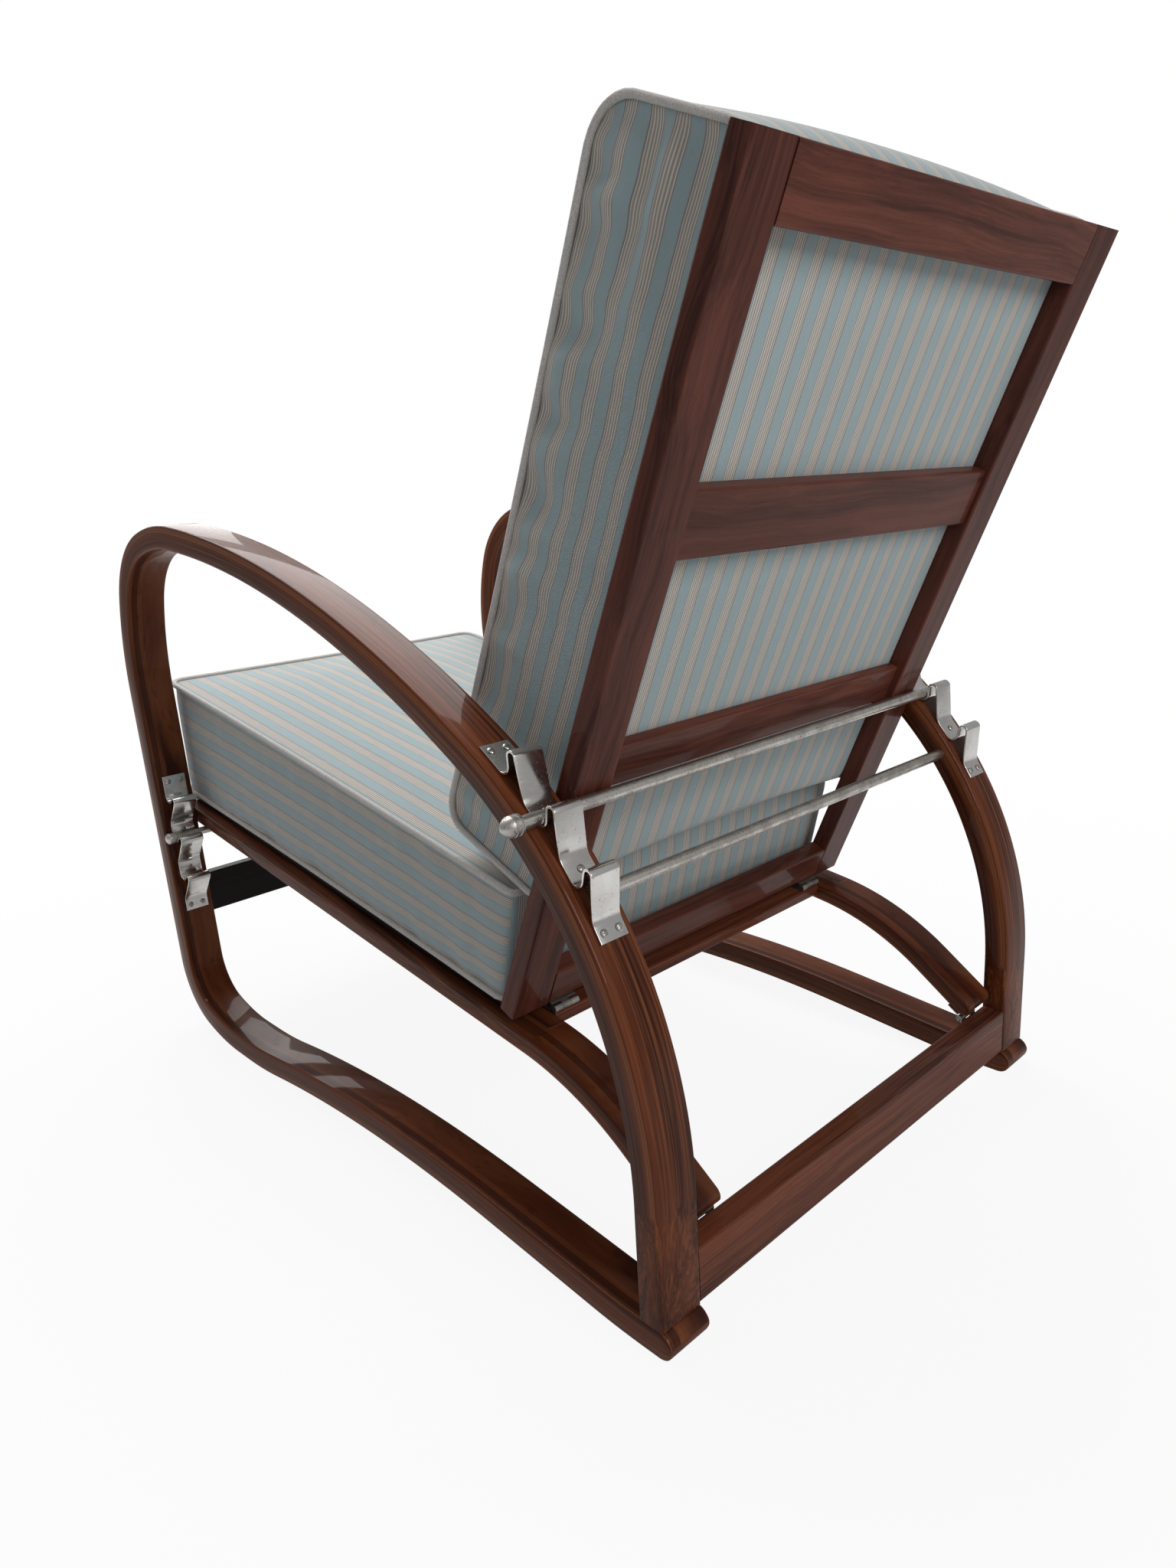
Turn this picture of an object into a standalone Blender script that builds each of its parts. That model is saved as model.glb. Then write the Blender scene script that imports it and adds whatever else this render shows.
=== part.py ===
"""Bentwood lounge chair with a hook-adjusted seat and back.

Two bent walnut hoops are joined by two stretchers and a fixed steel rod. The seat hinges on the
rear stretcher and rests on a loose rod in the front hooks. The back hinges on the seat and leans
on a loose rod in the rear hooks. Metres, +Z up, the sitter faces -Y, the sitter's left is +X.
"""
from math import acos, asin, atan2, ceil, cos, degrees, hypot, pi, radians, sin, tan

import bmesh
import bpy
from mathutils import Matrix, Vector

# Clearance between pieces that touch, and the largest step between a curve and its facets
GAP = 0.0003
CURVE_SAG = 0.00012

# Hoops: one laminated strip each, bent from the rear leg over the arm to the runner and the foot
HOOP_SPAN = 0.610
HOOP_WIDTH = 0.046
HOOP_THICK = 0.026
HOOP_EDGE = 0.0025
REAR_LEG_STRAIGHT = 0.104
REAR_BEND_RADIUS = 0.390
REAR_BEND_TURN = 58.0
ARM_RADIUS = 1.190
ARM_TURN = 26.0
CROWN_RADIUS = 0.220
CROWN_TURN = 22.0
FRONT_CURL_RADIUS = 0.105
FRONT_CURL_TURN = 54.0
FRONT_EASE_RADIUS = 0.290
FRONT_LEG_LEAN = 3.0
TOE_RADIUS = 0.071
TOE_TURN = 69.0
TOE_EASE_RADIUS = 0.250
FLOOR_CONTACT = 0.030
RUNNER_RISE_RADIUS = 0.530
RUNNER_RISE = 7.6
RUNNER_FALL = 5.0
FOOT_EASE_RADIUS = 0.600
FOOT_OVERHANG = 0.021

# Cross pieces between the hoops
REAR_STRETCHER_HEIGHT = 0.050
REAR_STRETCHER_THICK = 0.024
FRONT_STRETCHER_HEIGHT = 0.053
FRONT_STRETCHER_THICK = 0.016
FRONT_STRETCHER_BOTTOM = 0.147
BOARD_EDGE = 0.002
FIXED_ROD_DIAMETER = 0.0115
FIXED_ROD_AT = 0.349

# Hook strips: four alike, each a plated strip bent into three hooks between two screwed tabs
STRIP_WIDTH = 0.029
STRIP_THICK = 0.002
STRIP_OUTER_MARGIN = 0.0095
HOOK_COUNT = 3
HOOK_PITCH = 0.0515
HOOK_HEIGHT = 0.024
HOOK_LEAN = 0.018
HOOK_CREST_WIDTH = 0.010
HOOK_CREST_RADIUS = 0.004
HOOK_FALL = 0.0195
HOOK_LANDING_RADIUS = 0.014
TAB_LENGTH = 0.0405
END_TAB_LENGTH = 0.017
REAR_STRIP_AT = 0.4915
FRONT_STRIP_TOP = 0.339

# Slotted screws: two in each end tab, one in each valley between hooks
SCREW_DIAMETER = 0.0068
SCREW_HEIGHT = 0.0014
SCREW_SLOT_WIDTH = 0.0009
SCREW_SLOT_DEPTH = 0.0007
SCREW_SPACING = 0.016
TAB_SCREW_INSET = 0.007

# Loose rods that the seat and the back rest on, both in the same pocket of their strips
ROD_POCKET = 2
REAR_ROD_DIAMETER = 0.0115
FRONT_ROD_DIAMETER = 0.0095
ROD_END_INSET = 0.012
REAR_KNOB_PROUD = 0.028
REAR_KNOB_DIAMETER = 0.0175
REAR_KNOB_LENGTH = 0.017
FRONT_KNOB_PROUD = 0.005
FRONT_KNOB_DIAMETER = 0.0145
ROUND_SIDES = 16

# Hinges: each leaf is rolled round its pin, and the same pattern serves the seat and the back
BARREL_RADIUS = 0.0035
LEAF_THICK = 0.0015
LEAF_LENGTH = 0.018
HINGE_LENGTH = 0.030
BARREL_ROLL = 290.0
SEAT_HINGE_INSET = 0.031
BACK_HINGE_INSET = 0.061
SEAT_PIN_RISE = 0.0015

# Seat frame: its own Y runs back along the straight of the rails, its Z is square to them
SEAT_SIDE_CLEARANCE = 0.002
RAIL_WIDTH = 0.046
RAIL_THICK = 0.018
RAIL_EDGE = 0.002
RAIL_FRONT = 0.880
RAIL_DROP = 0.067
RAIL_BEND_RADIUS = 0.285
RAIL_BEND_TURN = 27.5
RAIL_OVERRUN = 0.003
CROSS_RAIL_THICK = 0.013
PANEL_THICK = 0.008
PANEL_INSET = 0.014
FOLD_CLEARANCE = 0.005

# Back frame: its own Z runs up the stiles from the hinge pin, its -Y points to the sitter
BACK_PIN_FORWARD = 0.2015
BACK_PIN_BEHIND = 0.0061
STILE_WIDTH = 0.044
STILE_THICK = 0.0195
STILE_LENGTH = 0.710
TOP_RAIL_HEIGHT = 0.048
MID_RAIL_AT = 0.441
MID_RAIL_HEIGHT = 0.054
MID_RAIL_THICK = 0.0145
LUMBAR_RAIL_AT = 0.240
LUMBAR_RAIL_HEIGHT = 0.040
LUMBAR_RAIL_THICK = 0.0115
BOTTOM_RAIL_HEIGHT = 0.038

# Cushions: boxed, with a crowned face, sides drawn in between the seams and rounded corners
CUSHION_MARGIN = 0.019
CUSHION_DRAW_IN = 0.003
CUSHION_CORNER = 0.014
CUSHION_GRID = 10
SEAT_CUSHION_FRONT = 0.145
SEAT_CUSHION_REAR = 0.118
SEAT_CUSHION_OVERHANG = 0.022
SEAT_CUSHION_SETBACK = 0.017
SEAT_CUSHION_RAKE = 0.018
SEAT_CROWN = 0.009
BACK_CUSHION_THICK = 0.132
BACK_CUSHION_FOOT = 0.126
BACK_CUSHION_TOP = 0.714
BACK_TOP_BULGE = 0.009
BACK_CUSHION_CHIN = 0.036
BACK_CROWN = 0.006

# Colours, measured on the lit surfaces
WALNUT = (0.155, 0.052, 0.025)
DARK_WALNUT = (0.030, 0.014, 0.010)
NICKEL = (0.78, 0.77, 0.74)
WORN_STEEL = (0.55, 0.53, 0.50)
STRIPED_CLOTH = (0.52, 0.60, 0.60)

# Sizes that follow from the others
HOOP_INNER = HOOP_SPAN / 2 - HOOP_WIDTH
HOOP_MIDDLE = HOOP_SPAN / 2 - HOOP_WIDTH / 2
SEAT_WIDTH = 2 * (HOOP_INNER - SEAT_SIDE_CLEARANCE)
CUSHION_WIDTH = SEAT_WIDTH - 2 * CUSHION_MARGIN
SEAT_HINGE_X = SEAT_WIDTH / 2 - SEAT_HINGE_INSET
BACK_HINGE_X = SEAT_WIDTH / 2 - BACK_HINGE_INSET
STRIP_X = HOOP_SPAN / 2 - STRIP_OUTER_MARGIN - STRIP_WIDTH / 2
STRIP_LOW = GAP + STRIP_THICK / 2
STRIP_LENGTH = TAB_LENGTH + (HOOK_COUNT - 1) * HOOK_PITCH + HOOK_FALL + END_TAB_LENGTH
POCKET_RADIUS = REAR_ROD_DIAMETER / 2 + GAP + STRIP_THICK / 2
PIN_SEAT = BARREL_RADIUS + GAP
RAIL_TOP = RAIL_DROP + RAIL_THICK
CUSHION_BASE = RAIL_TOP + PANEL_THICK + 2 * GAP


def clear_scene():
    for item in list(bpy.data.objects):
        bpy.data.objects.remove(item, do_unlink=True)


def material(name, colour, roughness, metallic=0.0):
    made = bpy.data.materials.new(name)
    made.use_nodes = True
    shader = made.node_tree.nodes["Principled BSDF"]
    shader.inputs["Base Color"].default_value = (*colour, 1.0)
    shader.inputs["Roughness"].default_value = roughness
    shader.inputs["Metallic"].default_value = metallic
    return made


def put(name, data, parent, place=(0.0, 0.0, 0.0), turn=0.0):
    """Links an object, turned about X by a number of degrees. Without data it is an empty."""
    made = bpy.data.objects.new(name, data)
    bpy.context.collection.objects.link(made)
    made.parent = parent
    made.location = place
    made.rotation_euler.x = radians(turn)
    return made


def close_mesh(name, bm, finish):
    """Turns a bmesh into a mesh with its faces out and its round sides smooth."""
    bmesh.ops.recalc_face_normals(bm, faces=bm.faces)
    mesh = bpy.data.meshes.new(name)
    bm.to_mesh(mesh)
    bm.free()
    mesh.materials.append(finish)
    mesh.shade_smooth()
    mesh.set_sharp_from_angle(angle=radians(35))
    return mesh


def skin(rings):
    """One closed body through a row of rings that have as many points each."""
    bm = bmesh.new()
    rows = [[bm.verts.new(point) for point in ring] for ring in rings]
    count = len(rows[0])
    for near, far in zip(rows, rows[1:]):
        for i in range(count):
            j = (i + 1) % count
            bm.faces.new((near[i], near[j], far[j], far[i]))
    bm.faces.new(rows[0])
    bm.faces.new(reversed(rows[-1]))
    return bm


def ribbon(stations, middle_x, width, thick, edge=0.0, nose=False):
    """A strip swept along stations (y, z, heading), with soft long edges and a round far end."""
    w, t = width / 2, thick / 2
    section = [(w, t), (-w, t), (-w, -t), (w, -t)]
    if edge:
        quarter = [(w, t - edge), (w - edge, t)]
        section = quarter + [(-x, z) for x, z in reversed(quarter)]
        section += [(-x, -z) for x, z in section]
    stops = [(*station, 1.0) for station in stations]
    if nose:
        y, z, heading = stations[-1]
        for angle in (22, 44, 63, 78):
            reach = t * sin(radians(angle))
            ahead = (y + reach * cos(radians(heading)), z + reach * sin(radians(heading)))
            stops.append((*ahead, heading, cos(radians(angle))))
    rings = []
    for y, z, heading, share in stops:
        out_y, out_z = share * sin(radians(heading)), -share * cos(radians(heading))
        rings.append([(middle_x + a, y + b * out_y, z + b * out_z) for a, b in section])
    return skin(rings)


def board(width, depth, height, edge=BOARD_EDGE, along="X"):
    """A box about its middle, with the edges that run along one axis rounded."""
    size = (width, depth, height)
    bm = bmesh.new()
    bmesh.ops.create_cube(bm, size=1.0)
    bmesh.ops.scale(bm, vec=size, verts=bm.verts)
    axis = "XYZ".index(along)
    long_edges = []
    for item in bm.edges:
        span = abs(item.verts[0].co[axis] - item.verts[1].co[axis])
        if span > size[axis] / 2:
            long_edges.append(item)
    bmesh.ops.bevel(bm, geom=long_edges, offset=edge, segments=2, profile=0.5, affect="EDGES")
    return bm


def turned(profile, sides=ROUND_SIDES):
    """A body of revolution about X through points (x, radius)."""
    rings = []
    for x, radius in profile:
        angles = [2 * pi * (i + 0.5) / sides for i in range(sides)]
        rings.append([(x, radius * cos(a), radius * sin(a)) for a in angles])
    return skin(rings)


def joined(name, pieces, finish, cut=None):
    """One mesh: the union of some bmeshes that overlap, less a cutter."""
    solids = [put(name, close_mesh(name, bm, finish), None) for bm in pieces]
    steps = [("UNION", solid) for solid in solids[1:]]
    if cut:
        solids.append(put(name, close_mesh(name, cut, finish), None))
        steps.append(("DIFFERENCE", solids[-1]))
    for operation, other in steps:
        step = solids[0].modifiers.new("join", "BOOLEAN")
        step.operation = operation
        step.object = other
    bpy.context.view_layer.update()
    seen = solids[0].evaluated_get(bpy.context.evaluated_depsgraph_get())
    mesh = bpy.data.meshes.new_from_object(seen)
    for solid in solids:
        bpy.data.objects.remove(solid)
    return mesh


class Path:
    """Straights and arcs in the YZ plane, kept as stations (length, y, z, heading in degrees)."""

    def __init__(self, y, z, heading):
        self.stations = [(0.0, y, z, heading)]

    def straight(self, length):
        s, y, z, heading = self.stations[-1]
        ahead = (y + length * cos(radians(heading)), z + length * sin(radians(heading)))
        self.stations.append((s + length, *ahead, heading))

    def arc(self, radius, turn):
        """Turns left for a positive number of degrees and right for a negative one."""
        s, y, z, heading = self.stations[-1]
        side = 1 if turn > 0 else -1
        steps = max(2, ceil(abs(radians(turn)) / (2 * acos(1 - min(CURVE_SAG / radius, 0.5)))))
        centre_y = y - side * radius * sin(radians(heading))
        centre_z = z + side * radius * cos(radians(heading))
        for i in range(1, steps + 1):
            now = heading + turn * i / steps
            there_y = centre_y + side * radius * sin(radians(now))
            there_z = centre_z - side * radius * cos(radians(now))
            self.stations.append((s + radius * abs(radians(turn)) * i / steps, there_y, there_z, now))

    def end(self):
        return self.stations[-1]

    def line(self):
        return [station[1:] for station in self.stations]

    def at(self, length):
        """The place and heading (y, z, heading) at a length, on the facet that bounds it."""
        before = max(p for p in self.stations[:-1] if p[0] <= max(length, 0.0))
        after = min(p for p in self.stations if p[0] > before[0])
        share = (length - before[0]) / (after[0] - before[0])
        return tuple(a + share * (b - a) for a, b in zip(before, after))[1:]


def toe_path(y, z):
    """The two bends that bring the front leg level on the floor."""
    down = 270.0 + FRONT_LEG_LEAN
    toe = Path(y, z, down)
    toe.arc(TOE_RADIUS, TOE_TURN)
    toe.arc(TOE_EASE_RADIUS, 360.0 - down - TOE_TURN)
    return toe


def hoop_path():
    """The middle line of a hoop, from the rear leg's foot over the arm and back along the floor.

    Y is 0 at the rear leg. The front leg's length and the runner's arch follow from the rest, so
    that the runner is level on the floor at its front and under the rear leg.
    """
    path = Path(0.0, HOOP_THICK + GAP, 90.0)
    path.straight(REAR_LEG_STRAIGHT)
    path.arc(REAR_BEND_RADIUS, REAR_BEND_TURN)
    path.arc(ARM_RADIUS, ARM_TURN)
    path.arc(CROWN_RADIUS, CROWN_TURN)
    path.arc(FRONT_CURL_RADIUS, FRONT_CURL_TURN)
    path.arc(FRONT_EASE_RADIUS, 270.0 + FRONT_LEG_LEAN - path.end()[3])
    drop = path.end()[2] + toe_path(0.0, 0.0).end()[2] - HOOP_THICK / 2
    path.straight(drop / cos(radians(FRONT_LEG_LEAN)))
    path.arc(TOE_RADIUS, TOE_TURN)
    path.arc(TOE_EASE_RADIUS, 360.0 - path.end()[3])
    path.straight(FLOOR_CONTACT)
    add_runner(path)
    path.straight(HOOP_THICK / 2 + FOOT_OVERHANG)
    return path


def add_runner(path):
    """The arched runner, with the radius and the straight that bring it level at the rear leg.

    run = radius (sin rise + sin fall) + length cos fall
    climb = length sin fall - radius (cos fall - cos rise)
    """
    rise, fall = radians(RUNNER_RISE), radians(RUNNER_FALL)
    run = -HOOP_THICK / 2 - path.end()[1]
    run -= RUNNER_RISE_RADIUS * sin(rise) + FOOT_EASE_RADIUS * sin(fall)
    climb = RUNNER_RISE_RADIUS * (1 - cos(rise)) - FOOT_EASE_RADIUS * (1 - cos(fall))
    wide, high = sin(rise) + sin(fall), cos(fall) - cos(rise)
    scale = wide * sin(fall) + high * cos(fall)
    path.arc(RUNNER_RISE_RADIUS, RUNNER_RISE)
    path.arc((run * sin(fall) - climb * cos(fall)) / scale, -RUNNER_RISE - RUNNER_FALL)
    path.straight((climb * wide + run * high) / scale)
    path.arc(FOOT_EASE_RADIUS, RUNNER_FALL)


def front_leg_at(path, height):
    """The length along the hoop at which the straight front leg is at a height."""
    top = next(p for p in path.stations if abs(p[3] - 270.0 - FRONT_LEG_LEAN) < CURVE_SAG)
    return top[0] + (top[2] - height) / cos(radians(FRONT_LEG_LEAN))


def make_hoops(path, parent, wood):
    for side, hand in ((1, "left"), (-1, "right")):
        name = f"hoop_{hand}"
        bm = ribbon(path.line(), side * HOOP_MIDDLE, HOOP_WIDTH, HOOP_THICK, HOOP_EDGE, nose=True)
        put(name, close_mesh(name, bm, wood), parent)


def make_cross_pieces(path, parent, wood, dark, steel):
    """Boards between the rear legs and the front legs, and the rod between the arms."""
    half = HOOP_INNER - GAP
    low = board(2 * half, REAR_STRETCHER_THICK, REAR_STRETCHER_HEIGHT)
    middle = HOOP_THICK + GAP + REAR_STRETCHER_HEIGHT / 2
    put("rear_stretcher", close_mesh("rear_stretcher", low, wood), parent, (0.0, 0.0, middle))
    height = FRONT_STRETCHER_BOTTOM + FRONT_STRETCHER_HEIGHT / 2
    y, z, heading = path.at(front_leg_at(path, height))
    front = board(2 * half, FRONT_STRETCHER_THICK, FRONT_STRETCHER_HEIGHT)
    put("front_stretcher", close_mesh("front_stretcher", front, dark), parent, (0.0, y, z), heading - 270.0)
    y, z, _ = path.at(FIXED_ROD_AT)
    rod = turned([(-half, FIXED_ROD_DIAMETER / 2), (half, FIXED_ROD_DIAMETER / 2)])
    put("fixed_rod", close_mesh("fixed_rod", rod, steel), parent, (0.0, y, z))


class Seating:
    """The wood under a strip: s runs down it from the strip's top end, n stands off it."""

    def __init__(self, path, top, direction, side):
        self.path = path
        self.top = top
        self.direction = direction
        self.side = side

    def place(self, s, n):
        y, z, heading = self.path.at(self.top + self.direction * s)
        stand = self.side * (HOOP_THICK / 2 + n)
        return y + stand * sin(radians(heading)), z - stand * cos(radians(heading))

    def facing(self, s):
        """The turn about X, in degrees, that brings +Z square off the wood at s."""
        foot, tip = self.place(s, 0.0), self.place(s, STRIP_WIDTH)
        return degrees(atan2(tip[1] - foot[1], tip[0] - foot[0])) - 90.0


def rounded_line(corners):
    """Points along a line whose inner corners (s, n, radius) are rounded by arcs that don't meet."""
    points = [Vector(corners[0][:2])]
    for before, corner, after in zip(corners, corners[1:], corners[2:]):
        here, radius = Vector(corner[:2]), corner[2]
        back = (Vector(before[:2]) - here).normalized()
        ahead = (Vector(after[:2]) - here).normalized()
        half_angle = back.angle(ahead) / 2
        centre = here + (back + ahead).normalized() * radius / sin(half_angle)
        arm = here + back * radius / tan(half_angle) - centre
        sweep = pi - 2 * half_angle
        if back.cross(ahead) > 0:
            sweep = -sweep
        steps = max(2, ceil(abs(sweep) / radians(22)))
        points += [centre + Matrix.Rotation(sweep * i / steps, 2) @ arm for i in range(steps + 1)]
    points.append(Vector(corners[-1][:2]))
    return points


def strip_line():
    """The middle line of a strip as (s, n)."""
    corners = [(0.0, STRIP_LOW)]
    for i in range(HOOK_COUNT):
        foot = TAB_LENGTH + i * HOOK_PITCH
        crest = foot - HOOK_LEAN
        corners.append((foot, STRIP_LOW, POCKET_RADIUS))
        corners.append((crest, STRIP_LOW + HOOK_HEIGHT, HOOK_CREST_RADIUS))
        corners.append((crest + HOOK_CREST_WIDTH, STRIP_LOW + HOOK_HEIGHT, HOOK_CREST_RADIUS))
        corners.append((foot + HOOK_FALL, STRIP_LOW, HOOK_LANDING_RADIUS))
    corners.append((STRIP_LENGTH, STRIP_LOW))
    return rounded_line(corners)


def strip_stations(seating):
    """The strip's line laid on its wood, with points close enough to follow the wood's curve."""
    flat = strip_line()
    fine = [flat[0]]
    for a, b in zip(flat, flat[1:]):
        steps = max(1, ceil((b - a).length / (STRIP_WIDTH / 3)))
        fine += [a.lerp(b, i / steps) for i in range(1, steps + 1)]
    laid = [Vector(seating.place(*point)) for point in fine]
    stations = []
    for i, point in enumerate(laid):
        ahead = laid[min(i + 1, len(laid) - 1)] - laid[max(i - 1, 0)]
        stations.append((point.x, point.y, degrees(atan2(ahead.y, ahead.x))))
    return stations


def screw_places():
    """Where the screws of a strip stand, as (s, x)."""
    places = []
    for s in (TAB_SCREW_INSET, STRIP_LENGTH - TAB_SCREW_INSET):
        places += [(s, -SCREW_SPACING / 2), (s, SCREW_SPACING / 2)]
    landing_turn = atan2(HOOK_HEIGHT, HOOK_FALL + HOOK_LEAN - HOOK_CREST_WIDTH)
    flat_start = HOOK_FALL + HOOK_LANDING_RADIUS * tan(landing_turn / 2)
    flat_end = HOOK_PITCH - POCKET_RADIUS / tan(atan2(HOOK_HEIGHT, HOOK_LEAN) / 2)
    for i in range(HOOK_COUNT - 1):
        places.append((TAB_LENGTH + i * HOOK_PITCH + (flat_start + flat_end) / 2, 0.0))
    return places


def screw_mesh(nickel):
    """A slotted raised head on its flat side, with its axis along +Z."""
    radius = SCREW_DIAMETER / 2
    dome = ((0.0, 1.0), (0.35, 1.0), (0.8, 0.72), (1.0, 0.35))
    head = turned([(SCREW_HEIGHT * x, radius * r) for x, r in dome], 14)
    bmesh.ops.rotate(head, verts=head.verts, matrix=Matrix.Rotation(radians(-90), 3, "Y"))
    slot = board(SCREW_DIAMETER * 1.2, SCREW_SLOT_WIDTH, 2 * SCREW_SLOT_DEPTH, SCREW_SLOT_WIDTH / 8)
    bmesh.ops.translate(slot, verts=slot.verts, vec=(0.0, 0.0, SCREW_HEIGHT))
    return joined("screw", [head], nickel, cut=slot)


def make_strips(seatings, parent, nickel):
    head = screw_mesh(nickel)
    for row, seating in seatings.items():
        stations = strip_stations(seating)
        for side, hand in ((1, "left"), (-1, "right")):
            name = f"hook_strip_{row}_{hand}"
            bm = ribbon(stations, side * STRIP_X, STRIP_WIDTH, STRIP_THICK)
            put(name, close_mesh(name, bm, nickel), parent)
            for number, (s, x) in enumerate(screw_places(), start=1):
                place = (side * STRIP_X + x, *seating.place(s, STRIP_THICK + 2 * GAP))
                put(f"screw_{row}_{hand}_{number}", head, parent, place, seating.facing(s))


def pocket_place(seating, rod_radius):
    """Where a rod comes to rest in its pocket, as (y, z)."""
    foot = TAB_LENGTH + (ROD_POCKET - 1) * HOOK_PITCH
    half_angle = atan2(HOOK_HEIGHT, HOOK_LEAN) / 2
    reach = POCKET_RADIUS / sin(half_angle) - (REAR_ROD_DIAMETER / 2 - rod_radius)
    s, n = foot - reach * cos(half_angle), STRIP_LOW + reach * sin(half_angle)
    return seating.place(s, n)


def rod_start():
    return -(STRIP_X + STRIP_WIDTH / 2 - ROD_END_INSET)


def make_rear_rod(place, parent, steel):
    """Plain at the right end, with a coned knob beyond the left hoop."""
    r, k = REAR_ROD_DIAMETER / 2, REAR_KNOB_DIAMETER / 2
    tip = HOOP_SPAN / 2 + REAR_KNOB_PROUD
    neck = tip - REAR_KNOB_LENGTH
    profile = [(rod_start(), r * 0.8), (rod_start() + r / 5, r), (neck - r / 3, r), (neck, k * 0.9)]
    profile += [(neck + r / 5, k), (neck + r, k), (tip - r * 0.35, k * 0.42), (tip, k * 0.18)]
    carrier = put("rear_rod_lift", None, parent, (0.0, *place))
    put("rear_rod", close_mesh("rear_rod", turned(profile), steel), carrier)


def make_front_rod(place, parent, steel):
    """Plain at the right end, with a domed cap outside the left strip."""
    r, k = FRONT_ROD_DIAMETER / 2, FRONT_KNOB_DIAMETER / 2
    neck = STRIP_X + STRIP_WIDTH / 2 + GAP
    dome = HOOP_SPAN / 2 + FRONT_KNOB_PROUD - k
    profile = [(rod_start(), r * 0.8), (rod_start() + r / 5, r), (neck, r), (neck + r / 5, k)]
    for angle in (0, 20, 40, 58, 74):
        profile.append((dome + k * sin(radians(angle)), k * cos(radians(angle))))
    carrier = put("front_rod_lift", None, parent, (0.0, *place))
    put("front_rod", close_mesh("front_rod", turned(profile), steel), carrier)


def leaf_mesh(spans, direction, steel):
    """A leaf above its pin: a plate along Y, rolled round the pin at spans (x0, x1)."""
    middle = BARREL_RADIUS - LEAF_THICK / 2
    plate = board(HINGE_LENGTH, LEAF_LENGTH - PIN_SEAT, LEAF_THICK, LEAF_THICK / 8)
    plate_y = direction * (LEAF_LENGTH + PIN_SEAT) / 2
    bmesh.ops.translate(plate, verts=plate.verts, vec=(0.0, plate_y, middle))
    pieces = [plate]
    for x0, x1 in spans:
        roll = Path(-(PIN_SEAT + LEAF_THICK), middle, 0.0)
        roll.straight(PIN_SEAT + LEAF_THICK)
        roll.arc(middle, -BARREL_ROLL)
        bm = ribbon(roll.line(), (x0 + x1) / 2, x1 - x0, LEAF_THICK)
        if direction > 0:
            bmesh.ops.scale(bm, vec=(1.0, -1.0, 1.0), verts=bm.verts)
        pieces.append(bm)
    return joined("leaf", pieces, steel)


def make_hinge(name, x, steel, fixed, moving, pin_parent):
    """Two leaves and a pin. fixed and moving are (node part, parent, place, turn, direction)."""
    third = HINGE_LENGTH / 6
    outer = ((-3 * third, -third - GAP), (third + GAP, 3 * third))
    inner = ((-third, third),)
    for spans, (part, parent, place, turn, direction) in ((outer, fixed), (inner, moving)):
        mesh = leaf_mesh(spans, direction, steel)
        put(f"{name}_{part}", mesh, parent, (x, *place), turn)
    radius = BARREL_RADIUS - LEAF_THICK - GAP
    half = HINGE_LENGTH / 2
    pin = turned([(-half, radius), (half, radius)], 12)
    parent, place = pin_parent
    put(f"{name}_pin", close_mesh(name, pin, steel), parent, (x, *place))


def rail_path():
    """The middle line of a side rail, in the seat's frame.

    The straight ends where the bend brings the tail's underside square over the seat pin.
    """
    turn = radians(RAIL_BEND_TURN)
    lift = RAIL_DROP - RAIL_BEND_RADIUS * (1 - cos(turn))
    tail_y = (PIN_SEAT - lift * cos(turn)) / sin(turn)
    tail = lift * sin(turn) - tail_y * cos(turn) + RAIL_OVERRUN
    path = Path(-RAIL_FRONT, RAIL_DROP + RAIL_THICK / 2, 0.0)
    path.straight(RAIL_FRONT + tail_y - RAIL_BEND_RADIUS * sin(turn))
    path.arc(RAIL_BEND_RADIUS + RAIL_THICK / 2, -RAIL_BEND_TURN)
    path.straight(tail)
    return path


def make_seat(seat, wood, dark):
    line = rail_path().line()
    rail_x = SEAT_WIDTH / 2 - RAIL_WIDTH / 2
    for side, hand in ((1, "left"), (-1, "right")):
        name = f"seat_rail_{hand}"
        bm = ribbon(line, side * rail_x, RAIL_WIDTH, RAIL_THICK, RAIL_EDGE, nose=True)
        put(name, close_mesh(name, bm, wood), seat)
    between = SEAT_WIDTH - 2 * RAIL_WIDTH - 2 * GAP
    front_y = -RAIL_FRONT + RAIL_WIDTH / 2
    rear_y = BARREL_RADIUS - BACK_PIN_FORWARD - RAIL_WIDTH / 2
    for name, y, thick, finish in (
        ("seat_front_rail", front_y, RAIL_THICK, dark),
        ("seat_cross_rail", rear_y, CROSS_RAIL_THICK, wood),
    ):
        bm = board(between, RAIL_WIDTH, thick)
        put(name, close_mesh(name, bm, finish), seat, (0.0, y, RAIL_TOP - thick / 2))
    panel_end = -BACK_PIN_FORWARD - BACK_PIN_BEHIND - STILE_THICK - FOLD_CLEARANCE
    panel_start = -RAIL_FRONT + GAP
    panel = board(SEAT_WIDTH - 2 * PANEL_INSET, panel_end - panel_start, PANEL_THICK, along="Y")
    place = (0.0, (panel_start + panel_end) / 2, RAIL_TOP + GAP + PANEL_THICK / 2)
    put("seat_base_panel", close_mesh("seat_base_panel", panel, dark), seat, place)


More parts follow.
